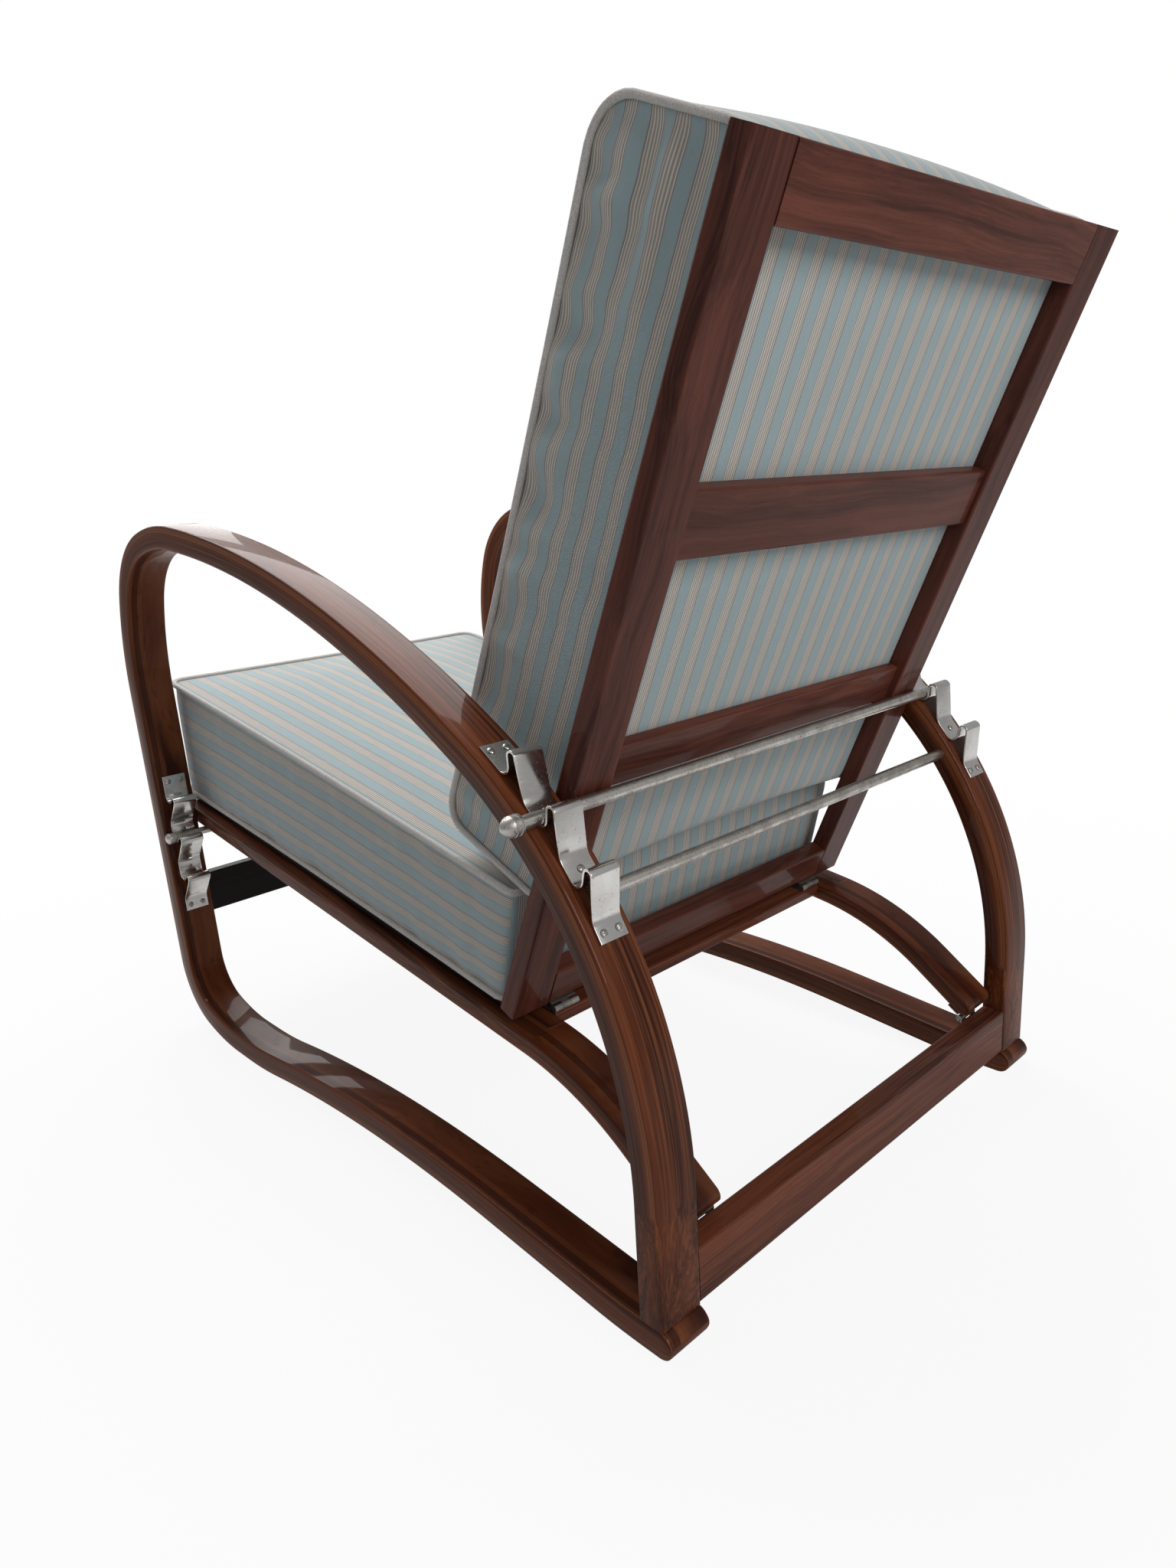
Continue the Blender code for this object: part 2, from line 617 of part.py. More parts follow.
def make_back(back, wood):
    """Two stiles with four rails between them. The thinner rails lie flush with the front face."""
    rear = -BACK_PIN_BEHIND
    front = rear - STILE_THICK
    foot = PIN_SEAT
    for side, hand in ((1, "left"), (-1, "right")):
        name = f"stile_{hand}"
        bm = board(STILE_WIDTH, STILE_THICK, STILE_LENGTH, along="Z")
        place = (side * (SEAT_WIDTH - STILE_WIDTH) / 2, (front + rear) / 2, foot + STILE_LENGTH / 2)
        put(name, close_mesh(name, bm, wood), back, place)
    between = SEAT_WIDTH - 2 * STILE_WIDTH - 2 * GAP
    top_at = STILE_LENGTH - TOP_RAIL_HEIGHT
    for name, at, height, thick in (
        ("top_rail", top_at, TOP_RAIL_HEIGHT, STILE_THICK),
        ("mid_rail", MID_RAIL_AT, MID_RAIL_HEIGHT, MID_RAIL_THICK),
        ("lumbar_rail", LUMBAR_RAIL_AT, LUMBAR_RAIL_HEIGHT, LUMBAR_RAIL_THICK),
        ("bottom_rail", 0.0, BOTTOM_RAIL_HEIGHT, STILE_THICK),
    ):
        bm = board(between, thick, height)
        place = (0.0, front + thick / 2, foot + at + height / 2)
        put(name, close_mesh(name, bm, wood), back, place)


def spread(i):
    """Grid lines from -1 to 1 that lie closer together near the ends."""
    return sin(pi / 2 * (2 * i / CUSHION_GRID - 1))


def pull_corner(a, b, radius):
    """Rounds a corner: a and b are the distances in from its two sides."""
    da, db = max(radius - a, 0.0), max(radius - b, 0.0)
    if da == 0.0 or db == 0.0:
        return a, b
    share = max(da, db) / hypot(da, db)
    return radius - da * share, radius - db * share


def cushion(base_start, base_end, top_end, top_start, crown, end_bulge, chin):
    """A boxed cushion between four profile corners (y, z), with its crown on the top side.

    Its corners in plan are rounded and its sides are drawn in halfway up. The end side can bulge
    out instead, and the chin rounds the edge where its start meets its top.
    """
    bm = bmesh.new()
    bmesh.ops.create_cube(bm, size=2.0)
    bmesh.ops.subdivide_edges(bm, edges=bm.edges, cuts=CUSHION_GRID - 1, use_grid_fill=True)
    half = CUSHION_WIDTH / 2
    b0, b1, t1, t0 = (Vector(corner) for corner in (base_start, base_end, top_end, top_start))
    length = (b1 - b0).length
    thick = (t0 - b0).length
    for vert in bm.verts:
        u, v, w = (spread(CUSHION_GRID * (c + 1) / 2) for c in vert.co)
        bulge = crown * (1 - u * u) * (1 - v * v) * (w + 1) / 2
        drawn = CUSHION_DRAW_IN * (1 - w * w)
        end_drawn = -end_bulge * (1 - w * w) * (1 - u * u) if v > 0 and end_bulge else drawn
        across, along = half * (1 - abs(u)), length * (1 - abs(v)) / 2
        across, along = pull_corner(across, along, CUSHION_CORNER)
        across += drawn * abs(u) ** 8
        along += (end_drawn if v > 0 else drawn) * abs(v) ** 8
        along_start = along if v < 0 else length - along
        down = thick * (1 - w) / 2
        if chin:
            along_start, down = pull_corner(along_start, down, chin)
        share, rise = along_start / length, 1 - down / thick
        point = b0.lerp(b1, share).lerp(t0.lerp(t1, share), rise)
        out = (t0 - b0).normalized() * bulge
        x = (half - across) * (1 if u > 0 else -1)
        vert.co = (x, point.x + out.x, point.y + out.y)
    return bm


def make_seat_cushion(seat, pitch, cloth):
    """The front face stands upright, and the rear face leans back with the chair's back."""
    start = -RAIL_FRONT - SEAT_CUSHION_OVERHANG
    end = -BACK_PIN_FORWARD - BACK_PIN_BEHIND - STILE_THICK - SEAT_CUSHION_SETBACK
    front_top = CUSHION_BASE + SEAT_CUSHION_FRONT
    rear_top = CUSHION_BASE + SEAT_CUSHION_REAR
    upright = SEAT_CUSHION_FRONT * tan(radians(pitch))
    bm = cushion(
        (start, CUSHION_BASE),
        (end, CUSHION_BASE),
        (end + SEAT_CUSHION_RAKE, rear_top),
        (start - upright, front_top),
        SEAT_CROWN,
        0.0,
        0.0,
    )
    put("seat_cushion", close_mesh("seat_cushion", bm, cloth), seat)


def make_back_cushion(back, cloth):
    rear = -BACK_PIN_BEHIND - STILE_THICK - GAP
    front = rear - BACK_CUSHION_THICK
    bm = cushion(
        (rear, BACK_CUSHION_FOOT),
        (rear, BACK_CUSHION_TOP),
        (front, BACK_CUSHION_TOP),
        (front, BACK_CUSHION_FOOT),
        BACK_CROWN,
        BACK_TOP_BULGE,
        BACK_CUSHION_CHIN,
    )
    put("back_cushion", close_mesh("back_cushion", bm, cloth), back)


def seat_pitch(pin, rod):
    """How many degrees the seat falls towards the back when its rails rest on the front rod."""
    reach = Vector(rod) - Vector(pin)
    stand = RAIL_DROP - FRONT_ROD_DIAMETER / 2 - GAP
    return degrees(atan2(reach.y, -reach.x) - asin(stand / reach.length))


def back_recline(pin, rod):
    """How many degrees the back leans from upright when its stiles rest on the rear rod."""
    reach = Vector(rod) - Vector(pin)
    stand = BACK_PIN_BEHIND - REAR_ROD_DIAMETER / 2 - GAP
    return degrees(atan2(reach.x, reach.y) + asin(stand / reach.length))


def make_hinges(frame, seat, back, pins, steel):
    """The seat's hinges on the rear stretcher, and the back's hinges on the seat's cross rail."""
    seat_pin = seat.location.yz
    for side, hand in ((1, "left"), (-1, "right")):
        fixed = ("fixed_leaf", frame, seat_pin, -90.0, 1)
        moving = ("moving_leaf", seat, (0.0, 0.0), -RAIL_BEND_TURN, -1)
        make_hinge(f"seat_hinge_{hand}", side * SEAT_HINGE_X, steel, fixed, moving, (frame, seat_pin))
        fixed = ("seat_leaf", seat, pins.location.yz, 180.0, 1)
        moving = ("back_leaf", back, (0.0, 0.0), 0.0, -1)
        make_hinge(f"back_hinge_{hand}", side * BACK_HINGE_X, steel, fixed, moving, (pins, (0.0, 0.0)))


def centre_over_floor(chair):
    """Moves the chair so that the middle of its box is over the origin, with its feet at Z 0."""
    bpy.context.view_layer.update()
    corners = []
    for item in bpy.data.objects:
        if item.type == "MESH":
            corners += [item.matrix_world @ vert.co for vert in item.data.vertices]
    for axis in (0, 1):
        low, high = min(c[axis] for c in corners), max(c[axis] for c in corners)
        chair.location[axis] -= (low + high) / 2


def main():
    clear_scene()
    wood = material("walnut", WALNUT, 0.18)
    dark = material("dark_walnut", DARK_WALNUT, 0.30)
    nickel = material("nickel", NICKEL, 0.22, 1.0)
    steel = material("worn_steel", WORN_STEEL, 0.38, 1.0)
    cloth = material("striped_cloth", STRIPED_CLOTH, 0.9)

    chair = put("chair", None, None)
    path = hoop_path()
    rear = Seating(path, REAR_STRIP_AT, -1, 1)
    front = Seating(path, front_leg_at(path, FRONT_STRIP_TOP), 1, -1)
    rear_place = pocket_place(rear, REAR_ROD_DIAMETER / 2)
    front_place = pocket_place(front, FRONT_ROD_DIAMETER / 2)
    make_hoops(path, chair, wood)
    make_cross_pieces(path, chair, wood, dark, steel)
    make_strips({"rear": rear, "front": front}, chair, nickel)
    make_rear_rod(rear_place, chair, steel)
    make_front_rod(front_place, chair, steel)

    stretcher_top = HOOP_THICK + GAP + REAR_STRETCHER_HEIGHT
    seat_pin = (-REAR_STRETCHER_THICK / 2 - PIN_SEAT, stretcher_top + SEAT_PIN_RISE)
    pitch = seat_pitch(seat_pin, front_place)
    seat = put("seat_tilt_axis", None, chair, (0.0, *seat_pin), -pitch)
    pin_in_seat = (-BACK_PIN_FORWARD, RAIL_TOP + PIN_SEAT)
    pins = put("back_follow_axis", None, seat, (0.0, *pin_in_seat))
    bpy.context.view_layer.update()
    recline = back_recline(pins.matrix_world.translation.yz, rear_place)
    back = put("back_fold_axis", None, pins, (0.0, 0.0, 0.0), pitch - recline)
    make_seat(seat, wood, dark)
    make_back(back, wood)
    make_hinges(chair, seat, back, pins, steel)
    make_seat_cushion(seat, pitch, cloth)
    make_back_cushion(back, cloth)
    centre_over_floor(chair)


main()
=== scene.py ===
"""Looks of a bentwood lounge chair with an adjustable seat and back."""

from math import acos, atan2, ceil, cos, degrees, hypot, radians, sin, tan

import bmesh
import bpy
from mathutils import Matrix, Vector, noise


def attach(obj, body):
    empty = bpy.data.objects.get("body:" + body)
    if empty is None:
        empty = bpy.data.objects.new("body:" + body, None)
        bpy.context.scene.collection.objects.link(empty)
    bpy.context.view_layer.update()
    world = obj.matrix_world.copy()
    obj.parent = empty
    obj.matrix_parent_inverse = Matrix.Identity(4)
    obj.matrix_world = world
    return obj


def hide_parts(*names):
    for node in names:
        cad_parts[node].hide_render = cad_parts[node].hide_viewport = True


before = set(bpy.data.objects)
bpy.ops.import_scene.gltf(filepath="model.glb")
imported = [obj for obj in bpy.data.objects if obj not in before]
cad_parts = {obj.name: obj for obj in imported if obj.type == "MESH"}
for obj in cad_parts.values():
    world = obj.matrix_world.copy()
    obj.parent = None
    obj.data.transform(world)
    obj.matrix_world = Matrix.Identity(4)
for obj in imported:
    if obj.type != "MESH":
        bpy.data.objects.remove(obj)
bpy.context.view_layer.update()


# Camera. A hand-held view from behind the chair, on the sitter's left, a little above the arms. Its
# place and lens come from the boards, rods and feet of the chair.

bpy.ops.object.camera_add(
    location=(0.77671, 0.896572, 0.66087),
    rotation=(radians(74.5057), radians(3.2611), radians(136.2938)),
)
camera = bpy.context.object
camera.data.sensor_width = 36.0
camera.data.lens = 24.4
camera.data.clip_start = 0.02
bpy.context.scene.camera = camera


# Two hoops carry the chair. Each is one strip of bent, glued veneers, 46 mm wide and 26 mm thick,
# polished dark: rear leg, arm, front curl, front leg, toe, runner and foot. The layers show on its
# sides.

MIDDLE = -0.014
HOOP_X = 0.282
HOOP_WIDTH = 0.046
HOOP_THICK = 0.026
HOOP_EDGE = 0.0025
HOOP_FOOT = (0.407202, 0.0263)
REAR_LEG = 0.104
REAR_BEND = 0.390
HOOP_BENDS = [
    (REAR_LEG,),
    (REAR_BEND, 58.0),
    (1.190, 26.0),
    (0.220, 22.0),
    (0.105, 54.0),
    (0.290, 23.0),
    (0.360090,),
    (0.071, 69.0),
    (0.250, 18.0),
    (0.030,),
    (0.530, 7.6),
    (1.89064, -12.6),
    (0.135234,),
    (0.600, 5.0),
    (0.021,),
]
VENEER = 0.0031
SIDE_SKIN = 0.0009
FLATTEST = 0.00003
PORE_COLOUR = (0.012, 0.005, 0.003, 1.0)


def ahead_of(heading):
    """The (y, z) of one metre along a heading, in degrees up from +Y."""
    return cos(radians(heading)), sin(radians(heading))


def swept(name, place, heading, section, bends, nose=0.0):
    """Sweeps a rounded section through straights (length) and bends (radius, turn) of the YZ plane.

    Every point keeps its place along the strip, across it and through it as its grain. A bend's
    chords stay within FLATTEST of its curve. The track holds (y, z, heading) where each straight or
    bend begins. With a nose the far end closes in a half round of that radius.
    """
    width, thick, edge = section
    x, y, z = place
    out = sin(radians(heading)), -cos(radians(heading))
    bpy.ops.object.select_all(action="DESELECT")
    across_strip = (radians(heading - 90.0), 0.0, 0.0)
    bpy.ops.mesh.primitive_plane_add(size=1.0, location=place, rotation=across_strip)
    piece = bpy.context.object
    piece.name = piece.data.name = name
    piece.scale = (width, thick, 1.0)
    bpy.ops.object.transform_apply()
    bpy.ops.object.mode_set(mode="EDIT")
    bpy.ops.mesh.bevel(offset=edge, segments=3, affect="VERTICES")
    lengths = [0.0]
    track = []
    for bend in bends:
        track.append((y, z, heading))
        dy, dz = ahead_of(heading)
        if len(bend) == 1:
            y += bend[0] * dy
            z += bend[0] * dz
            shift = (0.0, bend[0] * dy, bend[0] * dz)
            bpy.ops.mesh.extrude_region_move(TRANSFORM_OT_translate={"value": shift})
            lengths.append(lengths[-1] + bend[0])
            continue
        radius, turn = bend
        side = 1.0 if turn > 0.0 else -1.0
        centre = (x, y - side * radius * dz, z + side * radius * dy)
        steps = max(3, ceil(abs(radians(turn)) / (2.0 * acos(1.0 - FLATTEST / radius))))
        bpy.ops.mesh.spin(steps=steps, angle=-radians(turn), center=centre, axis=(1.0, 0.0, 0.0))
        heading += turn
        dy, dz = ahead_of(heading)
        y = centre[1] + side * radius * dz
        z = centre[2] - side * radius * dy
        arc = radius * abs(radians(turn))
        start = lengths[-1]
        lengths.extend(start + arc * (i + 1) / steps for i in range(steps))
    track.append((y, z, heading))
    dy, dz = ahead_of(heading)
    before = 0.0
    for angle in (15.0, 30.0, 45.0, 60.0, 72.0, 82.0) if nose else ():
        step = nose * (sin(radians(angle)) - sin(radians(before)))
        squeeze = cos(radians(angle)) / cos(radians(before))
        y += step * dy
        z += step * dz
        bpy.ops.mesh.extrude_region_move(TRANSFORM_OT_translate={"value": (0.0, step * dy, step * dz)})
        bpy.ops.transform.resize(value=(1.0, squeeze, squeeze), center_override=(x, y, z))
        lengths.append(lengths[-1] + step)
        before = angle
    bpy.ops.object.mode_set(mode="OBJECT")
    points = piece.data.vertices
    ring = len(points) // len(lengths)
    offsets = [point.co - Vector(place) for point in points[:ring]]
    sides = [(offset.x, offset.y * out[0] + offset.z * out[1]) for offset in offsets]
    grain = piece.data.attributes.new("grain", "FLOAT_VECTOR", "POINT")
    for i in range(len(points)):
        grain.data[i].vector = (lengths[i // ring], *sides[i % ring])
    return piece, track


def close_up(piece, angle=35.0):
    """Turns the faces outwards and shades the piece smooth up to an angle."""
    bpy.ops.object.select_all(action="DESELECT")
    piece.select_set(True)
    bpy.context.view_layer.objects.active = piece
    bpy.ops.object.mode_set(mode="EDIT")
    bpy.ops.mesh.select_all(action="SELECT")
    bpy.ops.mesh.normals_make_consistent(inside=False)
    bpy.ops.object.mode_set(mode="OBJECT")
    bpy.ops.object.shade_smooth_by_angle(angle=radians(angle))


def feed(port, value):
    """Links a value into a port, or sets the port to a constant."""
    if isinstance(value, Value):
        value.finish.tree.links.new(value.port, port)
    else:
        port.default_value = value


class Value:
    """A number inside a finish. Arithmetic on it adds Math nodes."""

    def __init__(self, finish, port):
        self.finish = finish
        self.port = port

    def math(self, operation, *others):
        inputs = dict(enumerate((self, *others)))
        return self.finish.node("ShaderNodeMath", inputs, operation=operation)

    def __add__(self, other):
        return self.math("ADD", other)

    def __sub__(self, other):
        return self.math("SUBTRACT", other)

    def __rsub__(self, other):
        return (self * -1.0).math("ADD", other)

    def __mul__(self, other):
        return self.math("MULTIPLY", other)

    __radd__ = __add__
    __rmul__ = __mul__

    def __truediv__(self, other):
        return self.math("DIVIDE", other)

    def __abs__(self):
        return self.math("ABSOLUTE")

    def __lt__(self, other):
        return self.math("LESS_THAN", other)

    def __gt__(self, other):
        return self.math("GREATER_THAN", other)

    def fraction(self):
        return self.math("FRACT")

    def spread(self, low, high, to_low=0.0, to_high=1.0):
        """The share of the way from low to high, held between the two ends."""
        ends = {"From Min": low, "From Max": high, "To Min": to_low, "To Max": to_high}
        inputs = {"Value": self, **ends}
        return self.finish.node("ShaderNodeMapRange", inputs)


class Finish:
    """One procedural material: nodes that feed a single surface."""

    def __init__(self, name, constants):
        self.material = bpy.data.materials.new(name)
        self.material.use_nodes = True
        self.tree = self.material.node_tree
        self.surface = self.tree.nodes["Principled BSDF"]
        self.set(constants)

    def node(self, kind, inputs, output=0, **settings):
        """Adds a node, with its settings set first, then its inputs. Returns one of its outputs."""
        node = self.tree.nodes.new(kind)
        for name, setting in settings.items():
            setattr(node, name, setting)
        for port, value in inputs.items():
            feed(node.inputs[port], value)
        return Value(self, node.outputs[output])

    def set(self, inputs):
        """Feeds the surface."""
        for port, value in inputs.items():
            feed(self.surface.inputs[port], value)

    def place(self):
        """Every point's place in metres."""
        return self.node("ShaderNodeTexCoord", {}, output="Object")

    def stretched(self, place, scale, turn=0.0):
        """A place scaled on its three axes and turned about X by degrees."""
        turned_by = (radians(turn), 0.0, 0.0)
        return self.node("ShaderNodeMapping", {"Vector": place, "Scale": scale, "Rotation": turned_by})

    def cloud(self, place, scale=1.0, detail=2.0, distortion=0.0):
        """Soft noise from 0 to 1."""
        inputs = {"Vector": place, "Scale": scale, "Detail": detail, "Distortion": distortion}
        return self.node("ShaderNodeTexNoise", inputs)

    def mix(self, share, first, second):
        """The first colour, with a share of the second."""
        inputs = {0: share, 6: first, 7: second}
        return self.node("ShaderNodeMix", inputs, output=2, data_type="RGBA")

    def relief(self, height, depth):
        """Raises the surface by a height from 0 to 1 times a depth in metres."""
        bump = self.node("ShaderNodeBump", {"Height": height, "Distance": depth, "Strength": 1.0})
        self.set({"Normal": bump})


def polished_wood(name, along, place_of, swirl, dark, middle, light, streaks=0.55, layered=False):
    """Stained walnut under a hard polish, its grain running along one axis of the place."""
    polish = {"Coat Roughness": 0.045, "Coat IOR": 1.45}
    finish = Finish(name, {"Roughness": 0.42, "Specular IOR Level": 0.06, **polish})
    place = place_of(finish)
    wander = {"Vector": place, "Scale": 7.0, "Detail": 1.0}
    drift = finish.node("ShaderNodeTexNoise", wander, output="Color")
    centred = {0: drift, 1: (0.5, 0.5, 0.5)}
    drift = finish.node("ShaderNodeVectorMath", centred, operation="SUBTRACT")
    swirled = {0: drift, 1: (swirl, swirl, swirl)}
    drift = finish.node("ShaderNodeVectorMath", swirled, operation="MULTIPLY")
    drawn = finish.node("ShaderNodeVectorMath", {0: place, 1: drift}, operation="ADD")

    def run(long, fine):
        """The place with so many spots a metre along the grain and across it."""
        scale = [fine, fine, fine]
        scale[along] = long
        return finish.stretched(drawn, scale)

    figure = finish.cloud(run(2.2, 55.0), detail=2.0, distortion=0.4).spread(0.34, 0.66)
    streak = finish.cloud(run(5.0, 420.0), detail=3.0).spread(0.42, 0.72)
    pores = finish.cloud(run(55.0, 1700.0), detail=1.0).spread(0.60, 0.72)
    tone = finish.cloud(run(1.5, 9.0), detail=1.0).spread(0.35, 0.65)
    colour = finish.mix(figure, dark, middle)
    colour = finish.mix(streak * streaks, colour, light)
    colour = finish.mix(tone * 0.35, colour, dark)
    if layered:
        layers = finish.node("ShaderNodeSeparateXYZ", {"Vector": place}, output="Z") / VENEER + 0.5
        beside = finish.node("ShaderNodeSeparateXYZ", {"Vector": place}, output="Y")
        on_side = abs(beside) > HOOP_WIDTH / 2.0 - SIDE_SKIN
        number = {"W": layers.math("FLOOR")}
        shade = finish.node("ShaderNodeTexWhiteNoise", number, noise_dimensions="1D")
        seam = (abs(layers.fraction() - 0.5) > 0.43) * on_side
        colour = finish.mix(shade.spread(0.0, 1.0, 0.0, 0.5) * on_side, colour, light)
        colour = finish.mix(seam * 0.7, colour, dark)
    colour = finish.mix(pores * 0.3, colour, PORE_COLOUR)
    finish.set({"Base Color": colour, "Coat Weight": pores.spread(0.0, 1.0, 0.24, 0.20)})
    finish.relief(pores * -0.3 + streak * 0.2, 0.00006)
    return finish.material


def along_the_strip(finish):
    """Every point's place along a bent strip, across it and through it."""
    return finish.node("ShaderNodeAttribute", {}, output="Vector", attribute_name="grain")


hoop_wood = polished_wood(
    "bent_walnut",
    along=0,
    place_of=along_the_strip,
    swirl=0.004,
    dark=(0.028, 0.006, 0.003, 1.0),
    middle=(0.140, 0.034, 0.012, 1.0),
    light=(0.320, 0.105, 0.036, 1.0),
    layered=True,
)

for side, hand in ((1.0, "left"), (-1.0, "right")):
    place = (MIDDLE + side * HOOP_X, *HOOP_FOOT)
    section = (HOOP_WIDTH, HOOP_THICK, HOOP_EDGE)
    name = f"bent_hoop_{hand}"
    hoop, hoop_track = swept(name, place, 90.0, section, HOOP_BENDS, nose=HOOP_THICK / 2)
    close_up(hoop)
    hoop.data.materials.append(hoop_wood)
    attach(hoop, "frame")
    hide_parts(f"hoop_{hand}")


# Two boards tie the hoops together. The rear one stands on the runners between the rear legs and
# carries the seat's hinges. The front one is dowelled between the front legs; its near-black colour
# is painted shade, for the shadow under the seat.

board_wood = polished_wood(
    "walnut_board",
    along=0,
    place_of=Finish.place,
    swirl=0.010,
    dark=(0.045, 0.012, 0.007, 1.0),
    middle=(0.155, 0.042, 0.020, 1.0),
    light=(0.270, 0.090, 0.040, 1.0),
)
# Near-black walnut for the front board, the seat's front rail and its panel: painted shade, as dark as
# the shadow under the seat.
shade_black_wood = polished_wood(
    "shade_black_walnut",
    along=0,
    place_of=Finish.place,
    swirl=0.006,
    dark=(0.006, 0.005, 0.005, 1.0),
    middle=(0.012, 0.009, 0.008, 1.0),
    light=(0.022, 0.016, 0.013, 1.0),
)


def dress(node, material):
    """Gives a CAD node its finish."""
    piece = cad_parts[node]
    piece.data.materials.clear()
    piece.data.materials.append(material)


dress("rear_stretcher", board_wood)
dress("front_stretcher", shade_black_wood)


# A steel rod, 11.5 mm thick, is let into the hoops at the rear bend and keeps them apart. Its
# plating has worn to a dull, spotted grey.

ROD_RADIUS = 0.00575
FIXED_ROD_END = 0.2587
FIXED_ROD_AT = (MIDDLE, 0.3328, 0.3595)
PIT_COLOUR = (0.05, 0.04, 0.035, 1.0)


def turned(name, place, profile, sides=40):
    """Turns a rod about an axis along X, from one end face to the other, by (x, radius) pairs."""
    (at, radius), *rest = profile
    x, y, z = place
    bpy.ops.object.select_all(action="DESELECT")
    bpy.ops.mesh.primitive_circle_add(
        vertices=sides,
        radius=radius,
        fill_type="NGON",
        location=(x + at, y, z),
        rotation=(0.0, radians(90.0), 0.0),
    )
    piece = bpy.context.object
    piece.name = piece.data.name = name
    bpy.ops.object.transform_apply()
    bpy.ops.object.mode_set(mode="EDIT")
    for next_at, next_radius in rest:
        bpy.ops.mesh.extrude_region_move(TRANSFORM_OT_translate={"value": (next_at - at, 0.0, 0.0)})
        grow = next_radius / radius
        bpy.ops.transform.resize(value=(1.0, grow, grow), center_override=(x + next_at, y, z))
        at, radius = next_at, next_radius
    bpy.ops.object.mode_set(mode="OBJECT")
    close_up(piece)
    return piece


def worn_metal(name, bright, dull, roughness, spots):
    """Old plating: brushed along its length, with dull patches and small dark pits."""
    finish = Finish(name, {"Metallic": 1.0})
    place = finish.place()
    patches = finish.cloud(place, 60.0, detail=3.0).spread(0.38, 0.68)
    pits = finish.cloud(place, 700.0, detail=2.0).spread(0.58, 0.70) * spots
    brushed = finish.cloud(finish.stretched(place, (30.0, 1500.0, 1500.0)), detail=2.0)
    colour = finish.mix(patches, bright, dull)
    colour = finish.mix(pits, colour, PIT_COLOUR)
    rough = patches.spread(0.0, 1.0, roughness, roughness + 0.16) + pits * 0.3
    finish.set({"Base Color": colour, "Roughness": rough})
    finish.relief(brushed * 0.4 - pits, 0.00008)
    return finish.material


rod_steel = worn_metal(
    "worn_rod_steel",
    bright=(0.66, 0.63, 0.59, 1.0),
    dull=(0.42, 0.39, 0.36, 1.0),
    roughness=0.28,
    spots=0.8,
)

fixed_profile = [(-FIXED_ROD_END, ROD_RADIUS), (FIXED_ROD_END, ROD_RADIUS)]
fixed_rod = turned("round_rod_fixed", FIXED_ROD_AT, fixed_profile)
fixed_rod.data.materials.append(rod_steel)
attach(fixed_rod, "frame")
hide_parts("fixed_rod")


# Four strips of nickel-plated steel, 29 mm wide and 2 mm thick, are bent into three hooks each.
# Two are screwed along the rear bends and two down the front legs. A loose rod lies in their hooks.

STRIP_X = 0.281
STRIP_SECTION = (0.029, 0.002, 0.0004)
STRIP_LENGTH = 0.180
STRIP_LOW = 0.0013
HOOK_TOP = 0.0253
HOOK_PITCH = 0.0515
FIRST_HOOK = 0.0405
REAR_BEND_CENTRE = (HOOP_FOOT[0] - REAR_BEND, HOOP_FOOT[1] + REAR_LEG)
REAR_STRIP_AT = 0.4915
FRONT_STRIP_TOP = 0.339


def bends_through(corners):
    """The straights and bends that lead through corners (y, z, radius), from a level start."""
    bends = []
    heading = 0.0
    used = 0.0
    for (y0, z0, _), (y1, z1, radius), (y2, z2, _) in zip(corners, corners[1:], corners[2:]):
        leaving = degrees(atan2(z2 - z1, y2 - y1))
        turn = (leaving - heading + 180.0) % 360.0 - 180.0
        tangent = radius * tan(abs(radians(turn)) / 2.0)
        bends.append((hypot(y1 - y0, z1 - z0) - used - tangent,))
        bends.append((radius, turn))
        used = tangent
        heading = leaving
    (y0, z0, _), (y1, z1, _) = corners[-2:]
    bends.append((hypot(y1 - y0, z1 - z0) - used,))
    return bends


hook_line = [(0.0, STRIP_LOW, 0.0)]
for hook in range(3):
    foot = FIRST_HOOK + HOOK_PITCH * hook
    crest = foot - 0.018
    hook_line.append((foot, STRIP_LOW, 0.00705))
    hook_line.append((crest, HOOK_TOP, 0.004))
    hook_line.append((crest + 0.010, HOOK_TOP, 0.004))
    hook_line.append((foot + 0.0195, STRIP_LOW, 0.014))
hook_line.append((STRIP_LENGTH, STRIP_LOW, 0.0))
hook_bends = bends_through(hook_line)

FRONT_LEG = 6
leg_y, leg_z, leg_heading = hoop_track[FRONT_LEG]
leg_y += (leg_z - FRONT_STRIP_TOP) * tan(radians(leg_heading - 270.0))


def on_rear_bend(along, above):
    """A place on the outside of the rear bend, measured back down from the strip's upper end."""
    turn = (REAR_STRIP_AT - along - REAR_LEG) / REAR_BEND
    reach = REAR_BEND + HOOP_THICK / 2.0 + above
    return REAR_BEND_CENTRE[0] + reach * cos(turn), REAR_BEND_CENTRE[1] + reach * sin(turn)


def on_front_leg(along, above):
    """A place on the back of the front leg, measured down from the strip's upper end."""
    dy, dz = ahead_of(leg_heading)
    reach = HOOP_THICK / 2.0 + above
    return leg_y + along * dy - reach * dz, FRONT_STRIP_TOP + along * dz + reach * dy


